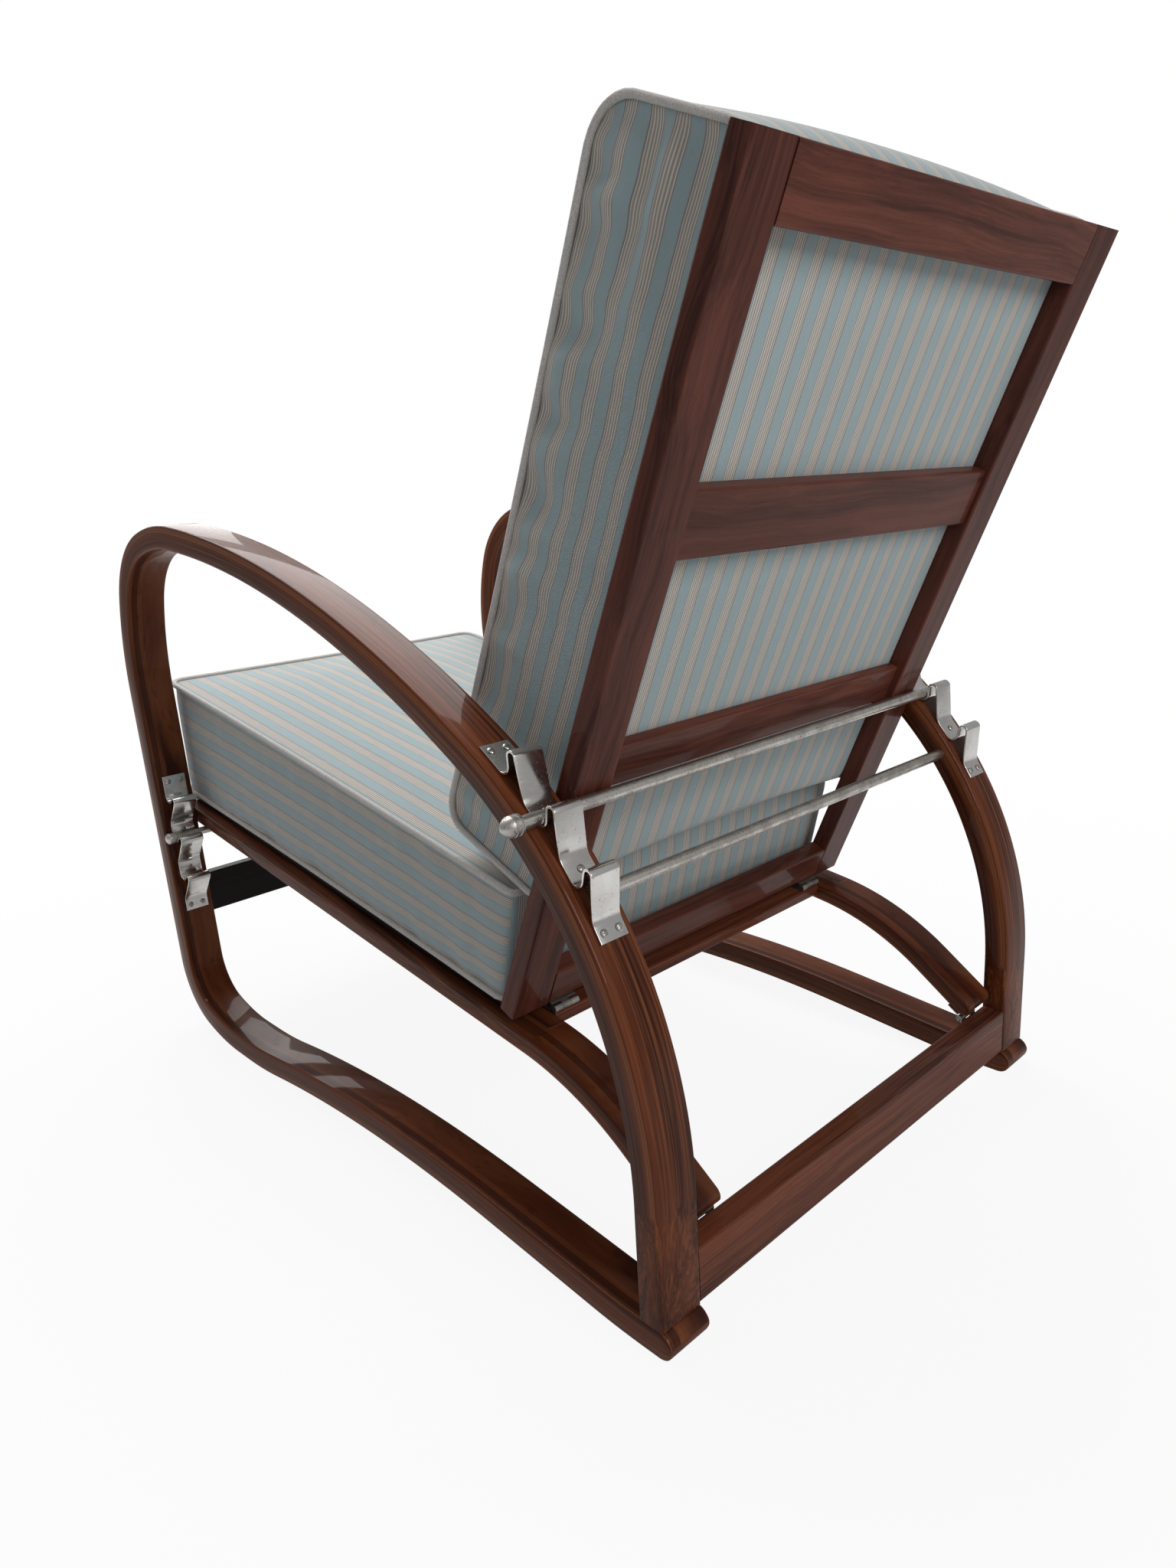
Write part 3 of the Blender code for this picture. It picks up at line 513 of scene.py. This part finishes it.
def plated_steel(name):
    """Nickel plate with a soft shine, fine scratches and a few dull specks."""
    finish = Finish(name, {"Metallic": 1.0})
    place = finish.place()
    clouds = finish.cloud(place, 45.0, detail=2.0).spread(0.35, 0.65)
    specks = finish.cloud(place, 420.0, detail=2.0).spread(0.64, 0.72)
    rubbed = finish.stretched(place, (90.0, 1400.0, 260.0))
    scratch = finish.cloud(rubbed, detail=2.0).spread(0.55, 0.75)
    colour = finish.mix(clouds, (0.80, 0.785, 0.76, 1.0), (0.68, 0.66, 0.63, 1.0))
    colour = finish.mix(specks * 0.6, colour, (0.25, 0.21, 0.18, 1.0))
    rough = clouds.spread(0.0, 1.0, 0.13, 0.20) + specks * 0.25 + scratch * 0.06
    finish.set({"Base Color": colour, "Roughness": rough})
    finish.relief(scratch, 0.00002)
    return finish.material


nickel_plate = plated_steel("nickel_plate")

for at, place_on in (("rear", on_rear_bend), ("front", on_front_leg)):
    for side, hand in ((1.0, "left"), (-1.0, "right")):
        place = (MIDDLE + side * STRIP_X, 0.0, STRIP_LOW)
        strip, _ = swept(f"hooked_strip_{at}_{hand}", place, 0.0, STRIP_SECTION, hook_bends)
        for point in strip.data.vertices:
            point.co.y, point.co.z = place_on(point.co.y, point.co.z)
        close_up(strip)
        strip.data.materials.append(nickel_plate)
        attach(strip, "frame")
        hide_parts(f"hook_strip_{at}_{hand}")


# Slotted, countersunk screws hold the strips: two at each end and one in each hollow between the
# hooks. They are plated as the strips are.

screw_plate = worn_metal(
    "screw_plate",
    bright=(0.55, 0.53, 0.50, 1.0),
    dull=(0.34, 0.32, 0.29, 1.0),
    roughness=0.24,
    spots=0.5,
)

for at in ("rear", "front"):
    for hand in ("left", "right"):
        for number in range(1, 7):
            dress(f"screw_{at}_{hand}_{number}", screw_plate)


# Two loose rods lie in the hooks and can be set in the next ones. The thick one behind carries the
# back and has a coned, ribbed knob. The thin one in front carries the seat and has a domed cap.

REAR_ROD_AT = (MIDDLE, 0.305523, 0.423535)
FRONT_ROD_AT = (MIDDLE, -0.422055, 0.261408)

rear_profile = [
    (-0.2835, ROD_RADIUS * 0.86),
    (-0.2828, ROD_RADIUS),
    (0.3152, ROD_RADIUS),
    (0.3156, 0.0078),
    (0.3162, 0.0086),
    (0.3186, 0.00875),
    (0.3190, 0.0082),
    (0.3196, 0.0082),
    (0.3200, 0.00875),
    (0.3232, 0.00875),
    (0.3236, 0.0082),
    (0.3242, 0.0082),
    (0.3246, 0.0086),
    (0.3262, 0.0084),
    (0.3296, 0.0060),
    (0.3318, 0.0040),
    (0.3327, 0.0024),
    (0.3330, 0.0010),
]
CAP_RADIUS = 0.00725
CAP_SHOULDER = 0.30275
CAP_RISE = 0.0050
front_profile = [
    (-0.2835, 0.0042),
    (-0.2830, 0.00475),
    (0.2956, 0.00475),
    (0.2957, 0.0066),
    (0.2960, 0.00715),
    (CAP_SHOULDER, CAP_RADIUS),
]
for angle in range(15, 90, 14):
    dome = CAP_SHOULDER + CAP_RISE * sin(radians(angle))
    front_profile.append((dome, CAP_RADIUS * cos(radians(angle))))

for name, place, profile in (
    ("rear_rod", REAR_ROD_AT, rear_profile),
    ("front_rod", FRONT_ROD_AT, front_profile),
):
    rod = turned(f"loose_{name}", place, profile)
    rod.data.materials.append(rod_steel)
    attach(rod, name)
    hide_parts(name)


# Four small steel hinges: two join the seat to the rear board, and two join the back to the seat's
# cross rail. Each has two leaves rolled about a pin.

hinge_steel = worn_metal(
    "hinge_steel",
    bright=(0.42, 0.40, 0.37, 1.0),
    dull=(0.22, 0.20, 0.18, 1.0),
    roughness=0.34,
    spots=0.6,
)

for hand in ("left", "right"):
    for part in ("fixed_leaf", "moving_leaf", "pin"):
        dress(f"seat_hinge_{hand}_{part}", hinge_steel)
    for part in ("seat_leaf", "back_leaf", "pin"):
        dress(f"back_hinge_{hand}_{part}", hinge_steel)


# The seat is a frame with two bent side rails of the same layered wood, 46 mm wide and 18 mm thick.
# Their tails bend down to the hinges. A cross rail, a front rail and a thin panel join them.

SEAT_PIN = (0.391402, 0.0778)
SEAT_PITCH = 8.459
RAIL_X = 0.234
RAIL_THICK = 0.018
RAIL_SECTION = (0.046, RAIL_THICK, 0.002)
RAIL_FRONT = (-0.880, 0.076)
RAIL_BENDS = [(0.689785,), (0.294, -27.5), (0.071062 - RAIL_THICK / 2.0,)]


def tilted(pin, degrees_back):
    """Turns a place in the seat's or the back's own frame to where it rests in the chair."""
    turn = Matrix.Rotation(-radians(degrees_back), 4, "X")
    return Matrix.Translation((MIDDLE, *pin)) @ turn


seat_rest = tilted(SEAT_PIN, SEAT_PITCH)

for side, hand in ((1.0, "left"), (-1.0, "right")):
    place = seat_rest @ Vector((side * RAIL_X, *RAIL_FRONT))
    name = f"bent_rail_{hand}"
    rail, _ = swept(name, place, -SEAT_PITCH, RAIL_SECTION, RAIL_BENDS, nose=RAIL_THICK / 2.0)
    close_up(rail)
    rail.data.materials.append(hoop_wood)
    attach(rail, "seat")
    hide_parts(f"seat_rail_{hand}")

dress("seat_cross_rail", board_wood)
# The front rail and the panel get the near-black walnut, painted shade for the dark gap under the
# cushion.
dress("seat_front_rail", shade_black_wood)
dress("seat_base_panel", shade_black_wood)


# The back is a frame of two stiles and four rails, dowelled and glued. The figure of the wood swirls
# on the stiles. The two middle rails are thinner and lie flush with the front.

BACK_PIN = (0.205156, 0.195275)
BACK_RECLINE = 23.7469


def along_the_stile(finish):
    """Every point's place, turned so that its third axis runs up the leaning back."""
    return finish.stretched(finish.place(), (1.0, 1.0, 1.0), turn=BACK_RECLINE)


stile_wood = polished_wood(
    "figured_walnut",
    along=2,
    place_of=along_the_stile,
    swirl=0.030,
    dark=(0.040, 0.010, 0.007, 1.0),
    middle=(0.125, 0.036, 0.024, 1.0),
    light=(0.190, 0.066, 0.042, 1.0),
    streaks=0.30,
)
back_rail_wood = polished_wood(
    "walnut_back_rail",
    along=0,
    place_of=Finish.place,
    swirl=0.022,
    dark=(0.052, 0.014, 0.009, 1.0),
    middle=(0.140, 0.042, 0.027, 1.0),
    light=(0.210, 0.072, 0.042, 1.0),
    streaks=0.30,
)

for hand in ("left", "right"):
    dress(f"stile_{hand}", stile_wood)
for name in ("top", "mid", "lumbar", "bottom"):
    dress(f"{name}_rail", back_rail_wood)


# The seat cushion is a boxed cushion 15 cm deep at the front, in striped cloth. The stripes run from
# front to back on top and down the rear, and lengthwise along the sides. A welt is sewn in along
# both seams.

CELL = 0.0085
TUCK = 0.020
STRIPE = 0.025
STRIPES_FROM = 0.213
PRESSURE = 4.0
DRAWN = 0.0035
TEAL = (0.258, 0.362, 0.396, 1.0)
BEIGE = (0.290, 0.238, 0.208, 1.0)
RIDGE = (0.640, 0.595, 0.530, 1.0)
BORDER = (0.150, 0.088, 0.074, 1.0)
TWILL = (0.620, 0.660, 0.630, 1.0)
SLUB = (0.270, 0.280, 0.270, 1.0)


def pulled_in(a, b, radius):
    """Rounds a corner: a and b are the distances in from its two sides."""
    da, db = max(radius - a, 0.0), max(radius - b, 0.0)
    if da == 0.0 or db == 0.0:
        return a, b
    share = max(da, db) / hypot(da, db)
    return radius - da * share, radius - db * share


def boxed_form(name, corners, half, rest, rounding, wrapped=False):
    """A boxed cushion between four profile corners, as even cells with their place in the cloth.

    A wrapped cushion has one piece of cloth over its faces and ends, and its rounding is in the
    profile, for each corner from the start's base. A plain one has a box between two faces, and its
    rounding is in plan, at the start and the end. The sides are drawn in between their corners by
    DRAWN. The weave map holds metres across and along the stripes, cut apart at the seams.
    """
    b0, b1, t1, t0 = (Vector((0.0, *c)) for c in corners)
    length, thick = (b1 - b0).length, (t0 - b0).length
    bm = bmesh.new()
    bmesh.ops.create_cube(bm, size=2.0)
    for axis, size in enumerate((2.0 * half, length, thick)):
        others = [i for i in range(3) if i != axis]
        ends = [(edge, *(vert.co for vert in edge.verts)) for edge in bm.edges]
        along = [edge for edge, a, b in ends if all(abs(a[i] - b[i]) < 1e-6 for i in others)]
        cuts = round(size / CELL) - 1
        bmesh.ops.subdivide_edges(bm, edges=along, cuts=cuts, use_grid_fill=True)
    flat = bm.verts.layers.float_vector.new("flat")
    weave = bm.loops.layers.uv.new("weave")
    for face in bm.faces:
        centre = face.calc_center_median()
        for loop in face.loops:
            u, v, w = loop.vert.co
            if abs(centre.x) > 0.999:
                loop[weave].uv = ((w + 1.0) * thick / 2.0, v * length / 2.0)
            elif abs(centre.z) > 0.999:
                loop[weave].uv = (STRIPES_FROM - u * half, v * length / 2.0)
            elif wrapped or centre.y > 0.0:
                loop[weave].uv = (STRIPES_FROM - u * half, w * thick / 2.0)
            else:
                loop[weave].uv = ((w + 1.0) * thick / 2.0, u * half)
    for vert in bm.verts:
        u, v, w = vert.co
        vert[flat] = (u, v, w)
        across, beyond = half * (1.0 - abs(u)), length * (1.0 - abs(v)) / 2.0
        depth = thick * (1.0 - abs(w)) / 2.0
        if wrapped:
            beyond, depth = pulled_in(beyond, depth, rounding[(v > 0.0) + 2 * (w > 0.0)])
        else:
            across, beyond = pulled_in(across, beyond, rounding[v > 0.0])
            beyond += DRAWN * (1.0 - u * u) * abs(v) ** 6
        across += DRAWN * (1.0 - v * v) * abs(u) ** 6
        share = (beyond if v < 0.0 else length - beyond) / length
        rise = 1.0 - depth / thick if w > 0.0 else depth / thick
        point = b0.lerp(b1, share).lerp(t0.lerp(t1, share), rise)
        point.x = (half - across) * (1.0 if u > 0.0 else -1.0)
        vert.co = rest @ point
    mesh = bpy.data.meshes.new(name)
    bm.normal_update()
    bm.to_mesh(mesh)
    bm.free()
    piece = bpy.data.objects.new(name, mesh)
    bpy.context.scene.collection.objects.link(piece)
    return piece


def on_seam(place, wrapped):
    """Whether a place in the cloth lies on one of the cushion's two seams."""
    u, v, w = place
    return abs(u if wrapped else w) > 0.999 and max(abs(v), abs(w if wrapped else u)) > 0.999


def stuffed(piece, wrapped, most, base):
    """Blows the cushion up, its cloth held along the seams. No point moves more than most metres.

    The base is a point and a direction: the cushion stays on that side, where it rests on wood.
    """
    mesh = piece.data
    before = [v.co.copy() for v in mesh.vertices]
    places = [Vector(d.vector) for d in mesh.attributes["flat"].data]
    seams = piece.vertex_groups.new(name="seams")
    seams.add([i for i, place in enumerate(places) if on_seam(place, wrapped)], 1.0, "REPLACE")
    after = before
    cloth = piece.modifiers.new("stuffing", "CLOTH")
    cloth.settings.quality = 6
    cloth.settings.mass = 0.25
    cloth.settings.tension_stiffness = 12.0
    cloth.settings.compression_stiffness = 12.0
    cloth.settings.shear_stiffness = 4.0
    cloth.settings.bending_stiffness = 0.4
    cloth.settings.use_pressure = True
    cloth.settings.uniform_pressure_force = PRESSURE
    cloth.settings.vertex_group_mass = "seams"
    cloth.settings.effector_weights.gravity = 0.0
    cloth.collision_settings.use_collision = False
    cloth.point_cache.frame_end = 20
    for step in range(1, 21):
        bpy.context.scene.frame_set(step)
    swollen = piece.evaluated_get(bpy.context.evaluated_depsgraph_get()).data
    after = [v.co.copy() for v in swollen.vertices]
    piece.modifiers.remove(cloth)
    bpy.context.scene.frame_set(1)
    point, direction = base
    for vert, start, end in zip(mesh.vertices, before, after):
        move = end - start
        if move.length > most:
            move = move.normalized() * most
        vert.co = start + move
        below = (vert.co - point).dot(direction)
        if below < 0.0:
            vert.co -= direction * below
    piece.vertex_groups.clear()


def puckered(piece, wrapped, depth, up):
    """Gathers the side panels in small folds along their seams, and tucks them in there.

    Up is the direction in which the folds follow each other.
    """
    mesh = piece.data
    normals = [v.normal.copy() for v in mesh.vertices]
    for vert, place, normal in zip(mesh.vertices, mesh.attributes["flat"].data, normals):
        u, v, w = place.vector
        beside_seam = max(abs(v), abs(w)) if wrapped else abs(w)
        if beside_seam > 0.999 or max(abs(u), 0.0 if wrapped else abs(v)) < 0.999:
            continue
        along = vert.co.dot(up)
        fold = noise.noise(Vector((along * 46.0, 0.0, w * 0.7 + u)))
        broad = noise.noise(Vector((along * 13.0, 5.0, w * 1.2 + u)))
        gather = 0.0
        if wrapped:
            gather = noise.noise(Vector((w * 4.5, 9.0, v * 2.0))) * max(0.0, (v - 0.55) / 0.45)
        near_seam = 0.12 + 0.88 * max(0.0, w if wrapped else abs(w)) ** 1.3
        swell = 1.6 * fold * near_seam + 0.4 * broad + 1.6 * gather - 0.2
        vert.co += normal * depth * swell * (1.0 - abs(w) ** 10) * (1.0 - v ** 16)
        vert.co -= normal * TUCK * max(0.0, beside_seam - 0.8)


def seam_rings(piece, wrapped):
    """The points along the two seams of a cushion, in order round each."""
    rings = [], []
    for vert, place in zip(piece.data.vertices, piece.data.attributes["flat"].data):
        u, v, w = place.vector
        if on_seam(place.vector, wrapped):
            side, turn = (u > 0.0, atan2(w, v)) if wrapped else (w > 0.0, atan2(v, u))
            rings[side].append((turn, vert.co.copy()))
    return [[point for _, point in sorted(ring, key=lambda entry: entry[0])] for ring in rings]


def welt(name, ring, radius, base):
    """A cord in a sleeve of cloth, sewn in along a seam, as a closed round tube."""
    point, direction = base
    curve = bpy.data.curves.new(name, "CURVE")
    curve.dimensions = "3D"
    curve.bevel_depth = radius
    curve.bevel_resolution = 3
    line = curve.splines.new("POLY")
    line.points.add(len(ring) - 1)
    line.use_cyclic_u = True
    for knot, place in zip(line.points, ring):
        short = radius + 0.0002 - (place - point).dot(direction)
        knot.co = (*(place + direction * max(short, 0.0)), 1.0)
    piece = bpy.data.objects.new(name, curve)
    bpy.context.scene.collection.objects.link(piece)
    bpy.ops.object.select_all(action="DESELECT")
    piece.select_set(True)
    bpy.context.view_layer.objects.active = piece
    bpy.ops.object.convert(target="MESH")
    piece = bpy.context.object
    piece.data.name = name
    close_up(piece, 60.0)
    return piece


def striped_cloth(name):
    """Blue-green and beige bands, 12.5 mm each, with cream ridges in the beige and a fine twill."""
    finish = Finish(name, {"Roughness": 0.88, "Specular IOR Level": 0.2, "Sheen Weight": 0.35})
    place = finish.node("ShaderNodeUVMap", {}, uv_map="weave")
    across = finish.node("ShaderNodeSeparateXYZ", {"Vector": place}, output="X")
    along = finish.node("ShaderNodeSeparateXYZ", {"Vector": place}, output="Y")
    band = (across / STRIPE + 8.0).fraction()
    beige = band < 0.5
    ridges = (abs((band * 10.0).fraction() - 0.5)).spread(0.12, 0.30, 1.0, 0.0) * beige
    border = (abs(band - 0.482) < 0.026) + (abs(band - 0.012) < 0.012)
    twill = (abs(((across * 1.0 + along) / 0.0016 + 40.0).fraction() - 0.5)).spread(0.10, 0.40)
    slub = finish.cloud(finish.stretched(place, (900.0, 60.0, 1.0)), detail=2.0)
    colour = finish.mix(beige, TEAL, BEIGE)
    colour = finish.mix(ridges, colour, RIDGE)
    colour = finish.mix(border * 0.8, colour, BORDER)
    colour = finish.mix(twill * 0.28, colour, TWILL)
    colour = finish.mix(slub.spread(0.35, 0.65, 0.0, 0.18), colour, SLUB)
    finish.set({"Base Color": colour})
    finish.relief(twill * 0.5 + ridges * 0.5, 0.00025)
    return finish.material


def welt_cloth(name):
    """Plain grey-beige cloth, cut on the slant round the cord."""
    finish = Finish(name, {"Roughness": 0.9, "Specular IOR Level": 0.2, "Sheen Weight": 0.12})
    weave = finish.cloud(finish.place(), 900.0, detail=2.0).spread(0.35, 0.65)
    broad = finish.cloud(finish.place(), 40.0, detail=1.0).spread(0.40, 0.60)
    colour = finish.mix(weave, (0.450, 0.420, 0.400, 1.0), (0.640, 0.605, 0.580, 1.0))
    colour = finish.mix(broad * 0.25, colour, (0.430, 0.455, 0.450, 1.0))
    finish.set({"Base Color": colour})
    finish.relief(weave, 0.00015)
    return finish.material


cushion_cloth = striped_cloth("striped_ticking")
piping_cloth = welt_cloth("piping_cloth")


def softened(piece):
    """Smooths the cells of a cushion once."""
    bpy.ops.object.select_all(action="DESELECT")
    piece.select_set(True)
    bpy.context.view_layer.objects.active = piece
    smooth = piece.modifiers.new("smooth", "SUBSURF")
    smooth.levels = smooth.render_levels = 1
    bpy.ops.object.modifier_apply(modifier=smooth.name)
    bpy.ops.object.shade_smooth()
    piece.data.attributes.remove(piece.data.attributes["flat"])


SEAT_WELT = 0.0034
SEAT_HALF = 0.2455
SEAT_ROUNDING = (0.018, 0.007)
SEAT_SWELL = 0.010
SEAT_PUCKER = 0.0030
SEAT_BASE = 0.0936
SEAT_REAR = -0.2350
SEAT_FRONT = -0.902
seat_corners = [
    (SEAT_FRONT, SEAT_BASE),
    (SEAT_REAR, SEAT_BASE),
    (SEAT_REAR + 0.0125, SEAT_BASE + 0.118),
    (SEAT_FRONT - 0.145 * tan(radians(SEAT_PITCH)), SEAT_BASE + 0.145),
]
seat_up = (seat_rest.to_3x3() @ Vector((0.0, 0.0, 1.0))).normalized()
seat_ground = (seat_rest @ Vector((0.0, 0.0, SEAT_BASE)), seat_up)
seat_cushion = boxed_form("boxed_seat_cushion", seat_corners, SEAT_HALF, seat_rest, SEAT_ROUNDING)
stuffed(seat_cushion, False, SEAT_SWELL, seat_ground)
puckered(seat_cushion, False, SEAT_PUCKER, Vector((0.0, 1.0, 0.0)))
seat_rings = seam_rings(seat_cushion, wrapped=False)
softened(seat_cushion)
seat_cushion.data.materials.append(cushion_cloth)
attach(seat_cushion, "seat")
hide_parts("seat_cushion")
for name, ring in zip(("seat_welt_lower", "seat_welt_upper"), seat_rings):
    piping = welt(name, ring, SEAT_WELT, seat_ground)
    piping.data.materials.append(piping_cloth)
    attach(piping, "seat")


# The back cushion is 13 cm thick and leans on the frame of the back. One piece of cloth wraps its
# face, top, rear and underside, and a long panel is gathered in down each side, with a welt round it.

BACK_FACE = -0.0259
BACK_HALF = 0.238
BACK_ROUNDING = (0.018, 0.014, 0.026, 0.036)
BACK_SWELL = 0.012
BACK_PUCKER = 0.0095
BACK_WELT = 0.0030

back_rest = tilted(BACK_PIN, BACK_RECLINE)
back_corners = [(BACK_FACE, 0.121), (BACK_FACE, 0.713), (-0.1560, 0.713), (-0.1650, 0.121)]
back_forward = (back_rest.to_3x3() @ Vector((0.0, -1.0, 0.0))).normalized()
back_up = (back_rest.to_3x3() @ Vector((0.0, 0.0, 1.0))).normalized()
back_ground = (back_rest @ Vector((0.0, BACK_FACE, 0.0)), back_forward)
back_cushion = boxed_form(
    "boxed_back_cushion", back_corners, BACK_HALF, back_rest, BACK_ROUNDING, wrapped=True
)
stuffed(back_cushion, True, BACK_SWELL, back_ground)
puckered(back_cushion, True, BACK_PUCKER, back_up)
back_rings = seam_rings(back_cushion, wrapped=True)
softened(back_cushion)
back_cushion.data.materials.append(cushion_cloth)
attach(back_cushion, "back")
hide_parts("back_cushion")
for name, ring in zip(("back_welt_right", "back_welt_left"), back_rings):
    piping = welt(name, ring, BACK_WELT, back_ground)
    piping.data.materials.append(piping_cloth)
    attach(piping, "back")


# Studio. A pale, matt floor takes the chair's shadow and fades into a white ground. Soft lamps stand
# above, in front and behind, and the ground lights the chair a little from all round.

FLOOR_RADIUS = 6.0
FADE_FROM = 0.6
FADE_TO = 1.4
SHADOWED = 0.91
MIRRORED_FLOOR = 0.3
AMBIENT = 0.34

bpy.ops.object.select_all(action="DESELECT")
bpy.ops.mesh.primitive_circle_add(
    vertices=96,
    radius=FLOOR_RADIUS,
    fill_type="NGON",
    location=(0.0, 0.0, 0.0),
)
floor = bpy.context.object
floor.name = floor.data.name = "studio_floor"


def seen(finish, mirrored):
    """1 for rays that reach the eye straight or through glass, and a share for mirrored ones."""
    straight, glossy, through = (
        finish.node("ShaderNodeLightPath", {}, output=f"Is {kind} Ray")
        for kind in ("Camera", "Glossy", "Transmission")
    )
    return straight.math("MAXIMUM", through).math("MAXIMUM", glossy * mirrored)


matt_grey = {"Base Color": (0.62, 0.62, 0.62, 1.0), "Roughness": 0.9, "Specular IOR Level": 0.0}
floor_finish = Finish("pale_floor", matt_grey)
east, north = (
    floor_finish.node("ShaderNodeSeparateXYZ", {"Vector": floor_finish.place()}, output=axis)
    for axis in "XY"
)
away = (east * east + north * north).math("SQRT")
white = floor_finish.node("ShaderNodeEmission", {"Color": (1.0, 1.0, 1.0, 1.0), "Strength": 1.0})
share = seen(floor_finish, MIRRORED_FLOOR) * away.spread(FADE_FROM, FADE_TO, SHADOWED, 1.0)
matt = Value(floor_finish, floor_finish.surface.outputs[0])
blended = floor_finish.node("ShaderNodeMixShader", {0: share, 1: matt, 2: white})
feed(floor_finish.tree.nodes["Material Output"].inputs["Surface"], blended)
floor.data.materials.append(floor_finish.material)


class Backdrop(Finish):
    """The white ground all round, made of the same nodes as a finish."""

    def __init__(self, name, constants):
        self.world = bpy.data.worlds.new(name)
        self.world.use_nodes = True
        self.tree = self.world.node_tree
        self.surface = self.tree.nodes["Background"]
        self.set(constants)


backdrop = Backdrop("studio_world", {"Color": (1.0, 1.0, 1.0, 1.0)})
backdrop.set({"Strength": seen(backdrop, AMBIENT).math("MAXIMUM", AMBIENT)})
bpy.context.scene.world = backdrop.world


def lamp(name, location, target, size, power):
    """A soft, flat lamp of a size in metres and a power in watts, aimed at a target."""
    bpy.ops.object.light_add(type="AREA", location=location)
    light = bpy.context.object
    light.name = light.data.name = name
    light.rotation_euler = (Vector(target) - Vector(location)).to_track_quat("-Z", "Y").to_euler()
    light.data.shape = "RECTANGLE"
    light.data.size, light.data.size_y = size
    light.data.energy = power


lamp("softbox_above", (-0.75, -1.5, 2.5), (-0.75, -1.25, 0.5), (2.6, 2.6), 98.0)
lamp("softbox_front", (-0.6, -3.6, 1.6), (0.0, 0.0, 0.7), (1.8, 1.3), 26.0)
lamp("softbox_behind", (0.1, 2.1, 1.5), (0.0, 0.1, 0.4), (0.9, 1.0), 19.0)

bpy.context.scene.view_settings.view_transform = "Standard"
